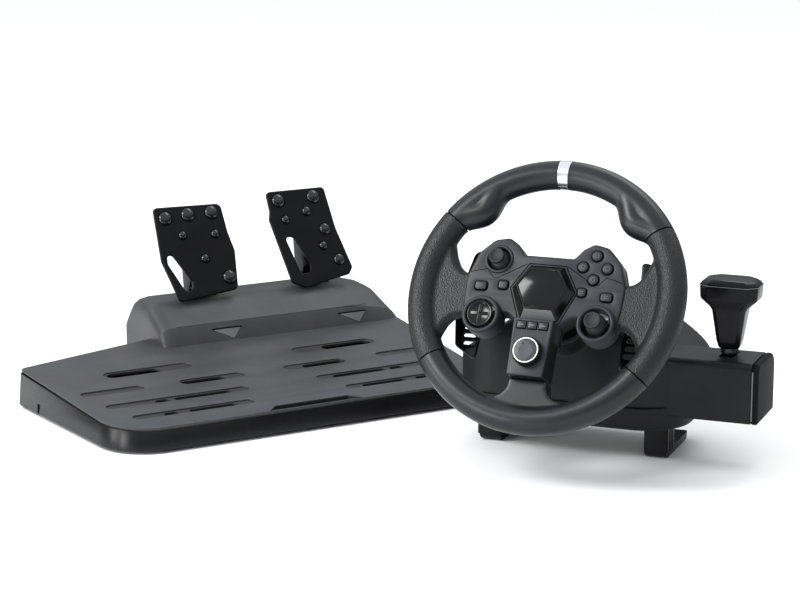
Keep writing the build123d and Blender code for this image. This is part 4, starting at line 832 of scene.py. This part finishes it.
def make_body():
    """The drum-shaped base with its nose, the tray under it and the plinth."""
    levels = [body_loop(0.6, SPLIT_Z + 0.4), body_loop(0, SPLIT_Z + 1.2)]
    for k in range(11):
        a = radians(9 * k)
        levels.append(body_loop(CROWN_R * (1 - cos(a)), BODY_Z1 - CROWN_R + CROWN_R * sin(a)))
    drum = stack("drum", levels, BASE, BODY_PLASTIC)
    slopes = [((side * SHOULDER_X, 0, BODY_Z1), (side * (BODY_Z1 - SHOULDER_Z), 0, BODY_X - SHOULDER_X))
              for side in (-1, 1)]
    clay = [cut_copy(drum, "drum_cut", slopes, BODY_PLASTIC, BASE)]
    bpy.data.objects.remove(drum)
    nose = [(0, -52.6), (31, -52.6), (33, -54.5), (33, -125), (0, -125)]
    clay.append(lathe("nose", nose, WHEEL, BODY_PLASTIC, count=72))
    upper = blended("base_upper", clay, BODY_VOXEL, BODY_SMOOTHING, BODY_PLASTIC)
    place(upper, "base", "charcoal_plastic", "base_upper_shell")

    collar = [(9.5, -50.6), (30.5, -50.6), (31.4, -51.4), (31.4, -53), (9.5, -53), (9.5, -50.6)]
    place(lathe("column_collar", collar, WHEEL, DARK_PLASTIC, count=72), "base", "black_plastic")

    inset = [(6 * (1 - sin(radians(15 * k))), BODY_Z0 + 6 * (1 - cos(radians(15 * k)))) for k in range(7)]
    tray = stack("tray", [body_loop(i, z) for i, z in inset] + [body_loop(0, SPLIT_Z - 0.8),
                                                                body_loop(0.6, SPLIT_Z)],
                 BASE, DARK_PLASTIC)
    cutters = []
    for side in (-1, 1):
        slot = rect(side * CLAMP_X - 12.9, 90.6, side * CLAMP_X + 12.9, 118.4, 1, 45)
        cutters.append(slab("slot", slot, 20, 59, BASE, DARK_JOINT_MARK_AND_SHADE))
    for name, hole in (("socket", rect(-46.5, 43.5, -33.5, 54.5, 1, 45)),
                       ("outlet", circle(-10, 49, 3.2, 24))):
        cutters.append(stack(name, [[(x, y, z) for x, z in hole] for y in (196, 210)], BASE, DARK_JOINT_MARK_AND_SHADE))
    tray = carve(tray, cutters, DARK_PLASTIC)
    plinth = rect(-67, 88, 67, 190, 8)
    parts = [tray, plate("plinth", plinth, 30, 38, BASE, DARK_PLASTIC, bevel=1.5)]
    parts.append(stack("seam", [body_loop(1.8, SPLIT_Z - 0.5), body_loop(1.8, SPLIT_Z + 1)], BASE, DARK_JOINT_MARK_AND_SHADE))
    assemble("base_tray", parts, "base", "black_plastic", "base_lower_shell")


def make_shifter():
    """The box arm with its end cap, the lever's boot and the faceted knob."""
    side = BASE @ SIDEWAYS
    section = rounded([(72, 51, 3), (143, 51, 3), (143, 112, 16), (72, 112, 7)], 9)
    box = plate("arm_box", section, BOX_X0 - 6, BOX_X1 - 0.3, side, BODY_PLASTIC, bevel=0.6)
    slot = rect(150.6, 92, 165.4, 122, 3, 30)
    box = carve(box, [slab("slot", slot, 82, 130, BASE, DARK_JOINT_MARK_AND_SHADE)], BODY_PLASTIC)
    rim = tube("slot_rim", flat(rect(150.4, 91.8, 165.6, 122.2, 3, 30), 111.8), 0.7, BASE, DARK_PLASTIC,
               cyclic=True, resolution=2)
    assemble("shifter_arm", [box, rim], "base", "charcoal_plastic", "shifter_housing")

    cap = plate("cap", section, BOX_X1, CAP_X1, side, CAP_PLASTIC, bevel=2.4, segments=4)
    # A light grey line down the cap's front edge: a painted highlight where the bevel catches the light.
    line = [(BOX_X1 + 0.9, 71.9, z) for z in (55, 104.5)]
    edge = tube("edge", line, 0.75, BASE, MARK_AND_HIGHLIGHT_GREY, resolution=2)
    assemble("shifter_cap", [cap, edge], "base", "charcoal_plastic", "shifter_end_cap")

    levels = [(119, 9.5, 8.5, 3.5), (120.5, 10.5, 9.5, 4), (127, 12.3, 10.8, 4), (158, 17, 14.6, 5),
              (162, 19.5, 15.8, 5.4), (169, 27.6, 19.6, 7.8), (171, 28.6, 20.2, 8), (183.5, 29.4, 20.9, 9),
              (186.6, 27.6, 19.4, 8.8), (188.8, 24.6, 16.8, 8), (190, 20.5, 13.5, 6.5), (190.5, 16, 10, 5)]
    loops = []
    for z, x, y, c in levels:
        loops.append([(SHIFT_X + px, SHIFT_Y + py, z) for px, py in
                      ((-x + c, -y), (x - c, -y), (x, -y + c), (x, y - c), (x - c, y), (-x + c, y),
                       (-x, y - c), (-x, -y + c))])
    knob = stack("knob", loops, BASE, KNOB_BLACK, angle=28)
    edge_bevel(knob, 1.1, 24, 3)
    knob = finish_mesh(applied(knob), KNOB_BLACK, 24)
    # A light grey line round the knob's crown: a painted highlight along its top edge.
    crown = [(px, py, pz + 0.1) for px, py, pz in loops[7]]
    line = tube("crown", crown, 0.35, BASE, MARK_AND_HIGHLIGHT_GREY, cyclic=True, resolution=2)
    assemble("shifter_head", [knob, line], "shifter", "gloss_black", "shifter_knob")
    boot = at(BASE, SHIFT_X, SHIFT_Y, 0)
    profile = [(4.6, 118.9), (8.2, 118.9), (9, 118.2), (9, 116.8), (8.2, 116.2), (8.2, 115.6), (9, 115.2),
               (9, 114.5), (8.3, 114), (4.6, 114)]
    place(lathe("shifter_boot", profile, boot, RUBBER, count=40), "shifter", "soft_black")


def make_clamps():
    """The two table clamps, with ratchet teeth down their outer sides."""
    side = BASE @ SIDEWAYS
    outline = rounded([(91, 0, 11), (91, CLAMP_TOP, 2), (118, CLAMP_TOP, 2), (118, 10.5, 5), (174, 10, 2),
                       (174, 1, 4)], 15)
    for name, way in (("left", -1), ("right", 1)):
        inner, outer = way * CLAMP_X - CLAMP_HALF, way * CLAMP_X + CLAMP_HALF
        low, high = (inner, outer - 1.6) if way > 0 else (inner + 1.6, outer)
        parts = [plate("core", outline, low, high, side, DARK_PLASTIC, bevel=1.2)]
        teeth = high - 1 if way > 0 else low - 1.6
        for y in (94.8, 101.8, 107.3, 114):
            width = 4.6 if y in (94.8, 114) else 2.4
            rail = rect(y - width / 2, 7, y + width / 2, 85, 1)
            parts.append(plate("rail", rail, teeth, teeth + 2.6, side, DARK_PLASTIC, bevel=0.5))
        for k in range(13):
            z = 12 + TOOTH_PITCH * k
            step = rect(95.5, z, 114, z + 2.6, 0.4, 45)
            parts.append(plate("tooth", step, teeth + 0.3, teeth + 1.7, side, DARK_PLASTIC, bevel=0.3,
                               segments=1))
        for y in range(128, 172, 6):
            rib = rect(way * CLAMP_X - 11.4, y, way * CLAMP_X + 11.4, y + 2.6, 0.8, 45)
            parts.append(plate("rib", rib, 9, 10.5, BASE, RUBBER, bevel=0.4))
        assemble("clamp_" + name + "_body", parts, "clamp_" + name, "black_plastic", "clamp_arm_" + name)


# ---- pedal unit
FRONT_X, REAR_X, SIDE_Y, BACK_Y, CORNER_R = 227.0, 243.0, 246.0, 356.0, 55.0
LIP_Z, RISE, FOOT_T = 27.0, 0.07, 3.0
SLOPE = sqrt(1 + RISE * RISE)
HOUSING_X0, HOUSING_X1 = -66.0, 240.2
ARM_W = 28.0
PAD_LEAN, FOLD_TILT = 26.0, 65.0
DECK = at(PEDALS, 0, 0, LIP_Z) @ Matrix.Rotation(atan2(RISE, 1), 4, "X") @ Matrix.Diagonal((1, SLOPE, 1, 1))
SLOTS = [(-115, 182, 104, 20), (-179, 131, 72, 15), (-63, 129, 76, 16), (-124, 84, 164, 14),
         (-125, 43, 138, 13)]
SLITS = [(-132, 182, 62, 16), (-74, 129, 52, 12), (-95, 84, 66, 10), (-142, 84, 17, 10), (-103, 43, 54, 9),
         (-151, 43, 17, 9)]
DRAFT = 3.0


def deck_z(y):
    """Height of the deck's top face at a given depth."""
    return LIP_Z + RISE * y


def deck_outline(shrink=0.0):
    """The pedal unit's plan outline."""
    s = shrink
    return rounded([(-FRONT_X + s, s, CORNER_R - s), (FRONT_X - s, s, CORNER_R - s), (REAR_X - s, SIDE_Y, 20),
                    (REAR_X - s, 330, 8),
                    (225, BACK_Y - s, 10), (HOUSING_X0 + s, BACK_Y - s, 4), (HOUSING_X0 + s, 292 - s, 2),
                    (-REAR_X + s, SIDE_Y - s, 8)], 7)


def make_deck():
    """The deck with its slots, the panel under them painted darker as shade, the drafted walls painted darker
    as shade and the light-catching ribs, with painted highlights in the front notch.
    """
    slots, slits = [], []
    for side in (-1, 1):
        slots += [stadium(side * x, y, length, width) for x, y, length, width in SLOTS]
        slits += [stadium(side * x, y, length, width) for x, y, length, width in SLITS]
    notch = rounded([(-58, 3.5, 2), (58, 3.5, 2), (43, 18, 3), (-43, 18, 3)])
    top = plate("top", deck_outline(DRAFT), -2.6, 0, DECK, DECK_PLASTIC, slots + [notch], bevel=0.8)
    # The floor under the slots is a darker copy of the deck plastic: painted shade in the recesses.
    floor = plate("floor", deck_outline(9), -4.6, -1.6, DECK, DECK_PAINTED_SHADE, slits + [notch], bevel=0.4)
    assemble("deck_panel", [top, floor], "pedal_unit", "deck_plastic", "pedal_base_cover")

    # A near-black sheet below the slits: painted shade seen through them.
    under = plate("under", deck_outline(12), -15, -13.5, DECK, DARK_JOINT_MARK_AND_SHADE, bevel=0.3)
    ribs = []
    for side in (-1, 1):
        for x, y, length, width in SLITS:
            if length > 30:
                for part in (-0.32, 0.38):
                    bar = stadium(side * x + part * length, y, length * 0.22, width * 0.7, 4)
                    ribs.append(plate("rib", bar, -12, -8.6, DECK, DECK_PLASTIC, bevel=0.6, segments=1))
    # Light grey plates in the front notch: painted highlights.
    for x0, x1 in ((-46, -14), (14, 44)):
        glint = rounded([(x0, 5, 1), (x1 - 4, 5, 1), (x1, 16, 1), (x0 + 6, 16, 1)])
        ribs.append(plate("glint", glint, -12, -8, DECK, MARK_AND_HIGHLIGHT_GREY, bevel=0.5))
    assemble("deck_under_ribs", [under, *ribs], "pedal_unit", "deck_plastic")

    # The walls and their lining take a darker copy of the deck plastic: painted shade on the upright faces.
    loops = []
    for inset, z, drop in ((0.8, FOOT_T + 0.6, None), (0, FOOT_T + 1.8, None), (DRAFT - 0.9, 0, 4.6),
                           (DRAFT - 0.5, 0, 4.0), (DRAFT + 0.6, 0, 3.9), (DRAFT + 0.6, 0, 2.2)):
        loops.append([(x, y, z if drop is None else deck_z(y) - drop) for x, y in deck_outline(inset)])
    walls = stack("walls", loops, PEDALS, LIP_PAINTED_SHADE, cap=False)
    inner = [flat(deck_outline(3), FOOT_T + 0.6), [(x, y, deck_z(y) - 3) for x, y in deck_outline(6)]]
    lining = stack("lining", inner, PEDALS, LIP_PAINTED_SHADE, cap=False)
    latch = rounded([(-239.9, 192, 0.3), (-239.9, 194.4, 0.3), (-236, 194.4, 0.3), (-236, 192, 0.3)], 45)
    mark = slab("latch", latch, 4.5, 15, PEDALS, DARK_JOINT_MARK_AND_SHADE)
    assemble("deck_walls", [walls, lining, mark], "pedal_unit", "deck_plastic")


def housing_section(x, height, front):
    """The housing's side profile at one place along it: height scales it, front pulls its foot back.

    Its back face follows the plan's rear corner, just inside the walls.
    """
    inset, crown, base = DRAFT - 0.3, 316.0, 36.0
    back = BACK_Y - inset
    crest = [(244, 40, 0), (256, 64, 3), (292, 86.5, 30), (crown, 91, 40), (338, 84, 20), (back, 60, 12),
             (back, 20, 0), (244, 20, 0)]
    corner = 330 + (REAR_X - x) * 26 / 18 - inset
    squeeze = min(1, (corner - crown) / (back - crown))
    points = []
    for y, z in rounded(crest, 6):
        pull = front * min(1, max(0, (292 - y) / 36))
        points.append((x, crown + (y - crown) * squeeze if y > crown else y + pull,
                       base + (z - base) * height if z > base else z))
    return points


def make_housing():
    """The pedal housing swept along its length, with openings for the two arms."""
    stations = [(HOUSING_X0, 0.62, 7), (HOUSING_X0 + 1.2, 0.78, 4), (HOUSING_X0 + 4, 0.9, 2),
                (HOUSING_X0 + 9, 0.97, 0.6), (HOUSING_X0 + 16, 1.0, 0), (140, 1.0, 0),
                (172, 0.99, 0), (196, 0.93, 0), (216, 0.83, 0), (229, 0.7, 0), (236, 0.54, 0),
                (HOUSING_X1, 0.36, 0)]
    block = stack("housing", [housing_section(*s) for s in stations], PEDALS, DECK_PLASTIC, angle=180)
    cutters = []
    half = ARM_W / 2 + 5
    for x in (BRAKE_X, ACCEL_X):
        hole = rect(x - half, 295.5, x + half, 340.5, 3, 30)
        cutters.append(slab("opening", hole, 31, 120, PEDALS, DARK_JOINT_MARK_AND_SHADE))
    parts = [even_shading(carve(block, cutters, DECK_PLASTIC, 40))]
    for x in (BRAKE_X + 5, ACCEL_X + 22):
        tri = at(PEDALS, x, 249.6, 51.5, FOLD_TILT)
        hollow = rounded([(-15, 6.2, 0.6), (21, 6.2, 0.6), (10, -6.2, 0.6)], 45)
        parts.append(plate("triangle", hollow, -0.7, 0.5, tri, MARK_AND_HIGHLIGHT_GREY, bevel=0.3, segments=1))
        parts.append(tube("shade", [(-15, 6.7, 0.4), (21, 6.7, 0.4)], 0.9, tri, DARK_JOINT_MARK_AND_SHADE, resolution=2))
    assemble("pedal_housing", parts, "pedal_unit", "deck_plastic")
    ridge = [(x, 256.4, 64.2) for x in (HOUSING_X0 + 20, 200)]
    lines = [tube("fold", ridge, 0.5, PEDALS, DECK_PLASTIC, resolution=2)]
    half = ARM_W / 2 + 7
    for x in (BRAKE_X, ACCEL_X):
        edge = [(x - half, 297, 89.6), (x + half, 297, 89.6)]
        lines.append(tube("trim", edge, 0.8, PEDALS, SOFT_RUBBER, resolution=2))
    assemble("housing_trim", lines, "pedal_unit", "deck_plastic")


PADS = {
    "brake": (BRAKE_X,
              [(-35, -8, 5), (40, 0, 6), (46, 46, 10), (42, 68, 10), (40, 104, 7), (-45, 106, 5),
               (-48, 42, 12)],
              [(-40, 48, 4), (-33, 48, 4), (-15, 14, 5), (-17, 4, 5), (-26, 4, 4), (-41, 38, 6)],
              [(-33, 92, 8.2), (-4, 94, 8.2), (26, 94, 8.2), (-16, 70, 5.2), (25, 68, 5.2), (6, 40, 5.2),
               (32, 15, 8.2)]),
    "accelerator": (ACCEL_X,
                    [(-36, 0, 5), (-21, -8, 5), (41, 2, 5), (47, 10, 5), (36, 60, 12), (32, 112, 5),
                     (-45, 112, 5),
                     (-45, 88, 4), (-48, 78, 5)],
                    [(-33, 55, 4), (-22, 55, 5), (-8, 19, 5), (-10, 9, 5), (-22, 9, 5)],
                    [(-32, 100, 8.2), (15, 101, 8.2), (2, 84, 5.8), (-28, 76, 5.2), (21, 60, 7),
                     (14, 40, 5.2),
                     (31, 21, 7)]),
}


def make_pedals():
    """Both pedals: a pressed pad with domed studs on a broad arm."""
    for name, (x, outline, window, studs) in PADS.items():
        face = at(PEDALS, x, 285, 94, 90 - PAD_LEAN)
        parts = [plate("sheet", rounded(outline), -4.8, 0, face, PAD_PAINT, [rounded(window)], bevel=1.3,
                       segments=4)]
        for u, v, r in studs:
            dome = [(r, -0.1), (r * 0.97, 0.8), (r * 0.87, 1.8), (r * 0.7, 2.7), (r * 0.45, 3.3),
                    (r * 0.2, 3.6), (0, 3.7)]
            parts.append(lathe("stud", dome, at(face, u, v), STUD_BLACK, count=36, angle=70))
            parts.append(lathe("ring", [(r + 0.9, -0.05), (r + 0.5, 0.22), (r, 0.1), (r - 0.2, -0.1)],
                               at(face, u, v), DARK_JOINT_MARK_AND_SHADE, count=32))
        assemble(name + "_pad_face", parts, name, "painted_pad", name + "_pad")
        side = PEDALS @ SIDEWAYS
        section = rounded([(310, 44, 3), (326, 44, 3), (322, 96, 20), (330.4, 155.5, 3), (322.4, 159.2, 2),
                           (298.3, 109.8, 4), (305, 96, 12)])
        arm = plate("arm", section, x - ARM_W / 2 + 0.1, x + ARM_W / 2 - 0.1, side, DARK_PLASTIC, bevel=1.6)
        hub = at(PEDALS, x - ARM_W / 2, PIVOT_Y, PIVOT_Z) @ SIDEWAYS
        barrel = lathe("barrel", [(4.06, 0), (8.2, 0), (9, 0.8), (9, ARM_W - 0.8), (8.2, ARM_W),
                                  (4.06, ARM_W)],
                       hub, DARK_PLASTIC, count=36)
        foot = rect(-13, 298.5, 17, 306, 1)
        flange = plate("flange", [(x + px, py) for px, py in foot], 95.5, 98.5, PEDALS, DARK_PLASTIC,
                       bevel=0.8)
        assemble(name + "_arm_body", [arm, barrel, flange], name, "black_plastic", name + "_arm")


# ---- CAD pieces that keep their shape
ALUMINIUM = material("cast_aluminium", (0.45, 0.46, 0.47), 0.45, metal=1.0, grain=(0.8, 0.03))
CAD_LOOKS = {
    "wheel_armature": ALUMINIUM, "marker_band": SILVER, "hub_board": BOARD, "steering_shaft": STEEL,
    "shaft_gear": DARK_PLASTIC, "encoder_pinion": DARK_PLASTIC, "encoder_body": DARK_PLASTIC,
    "column_bearings": STEEL, "base_board": BOARD, "base_screws": STEEL, "foot_pads": RUBBER,
    "shifter_lever": DARK_STEEL, "pedal_base_plate": DARK_PLASTIC, "pedal_feet": RUBBER,
    "pedal_pins": STEEL, "return_springs": STEEL, "stick_left_gimbal": DARK_PLASTIC,
    "stick_right_gimbal": DARK_PLASTIC, "dpad_gimbal": DARK_PLASTIC,
}


def dress_cad():
    """Gives the CAD pieces that stay in view their procedural materials."""
    for name, mat in CAD_LOOKS.items():
        mesh = NODES[name].data
        mesh.materials.clear()
        mesh.materials.append(mat)


# ---- camera, light and floor
FLOOR_SIZE = 14
LENS, CAMERA_DOWN, CAMERA_TURN = 103.5, 12.55, 21.8
CAMERA_AWAY_X, CAMERA_AWAY_Y, CAMERA_Z = 0.6779, 2.0741, 0.661


def make_camera():
    """The camera, looking down at the set from the front left."""
    data = bpy.data.cameras.new("camera")
    data.lens = LENS
    data.sensor_width = 36
    camera = new_object("camera", data)
    camera.location = (HUB_POINT.x + CAMERA_AWAY_X, HUB_POINT.y - CAMERA_AWAY_Y, CAMERA_Z)
    camera.rotation_euler = (radians(90 - CAMERA_DOWN), 0, radians(CAMERA_TURN))
    bpy.context.scene.camera = camera


def area_light(name, place_at, aim, size, power):
    """A soft square light aimed at a point."""
    data = bpy.data.lights.new(name, "AREA")
    data.shape = "RECTANGLE"
    data.size, data.size_y = size
    data.energy = power
    lamp = new_object(name, data)
    lamp.location = place_at
    lamp.rotation_euler = (Vector(aim) - Vector(place_at)).to_track_quat("-Z", "Y").to_euler()


def make_stage():
    """A plain pale floor, a pale world and soft lights."""
    bm = bmesh.new()
    bmesh.ops.create_grid(bm, x_segments=1, y_segments=1, size=FLOOR_SIZE)
    floor = new_object("floor", written(bm, bpy.data.meshes.new("floor")))
    floor_mat = bpy.data.materials.new("floor")
    floor_mat.use_nodes = True
    set_inputs(floor_mat.node_tree.nodes["Principled BSDF"],
               {"Base Color": (0.93, 0.93, 0.93, 1), "Roughness": 0.9, "Specular IOR Level": 0.0})
    floor.data.materials.append(floor_mat)
    world = bpy.data.worlds.new("world")
    world.use_nodes = True
    nodes, link = world.node_tree.nodes, world.node_tree.links.new
    nodes["Background"].inputs["Color"].default_value = (0.95, 0.97, 1.0, 1)
    split = nodes.new("ShaderNodeSeparateXYZ")
    link(nodes.new("ShaderNodeTexCoord").outputs["Generated"], split.inputs["Vector"])
    rise = nodes.new("ShaderNodeMapRange")
    rise.interpolation_type = "SMOOTHSTEP"
    set_inputs(rise, {"From Min": 0.15, "From Max": 0.65, "To Min": 0.30, "To Max": 1.25})
    link(split.outputs["Z"], rise.inputs["Value"])
    link(rise.outputs["Result"], nodes["Background"].inputs["Strength"])
    bpy.context.scene.world = world
    area_light("key", (-1.25, -1.55, 1.65), (0.0, -0.1, 0.12), (0.8, 0.8), 46)
    area_light("top", (0.5, 1.3, 2.2), (0, 0, 0.1), (1.6, 0.6), 14)
    area_light("low", (-0.85, -2.0, 0.36), (0, -0.1, 0.12), (0.3, 0.6), 11)
    area_light("side", (-0.95, -1.05, 0.30), (0.15, -0.1, 0.12), (0.25, 0.45), 4)
    bpy.context.scene.view_settings.view_transform = "Standard"


make_camera()
make_rim()
make_hub()
make_screen()
make_console()
make_controls()
make_paddles()
make_body()
make_shifter()
make_clamps()
make_deck()
make_housing()
make_pedals()
dress_cad()
make_stage()
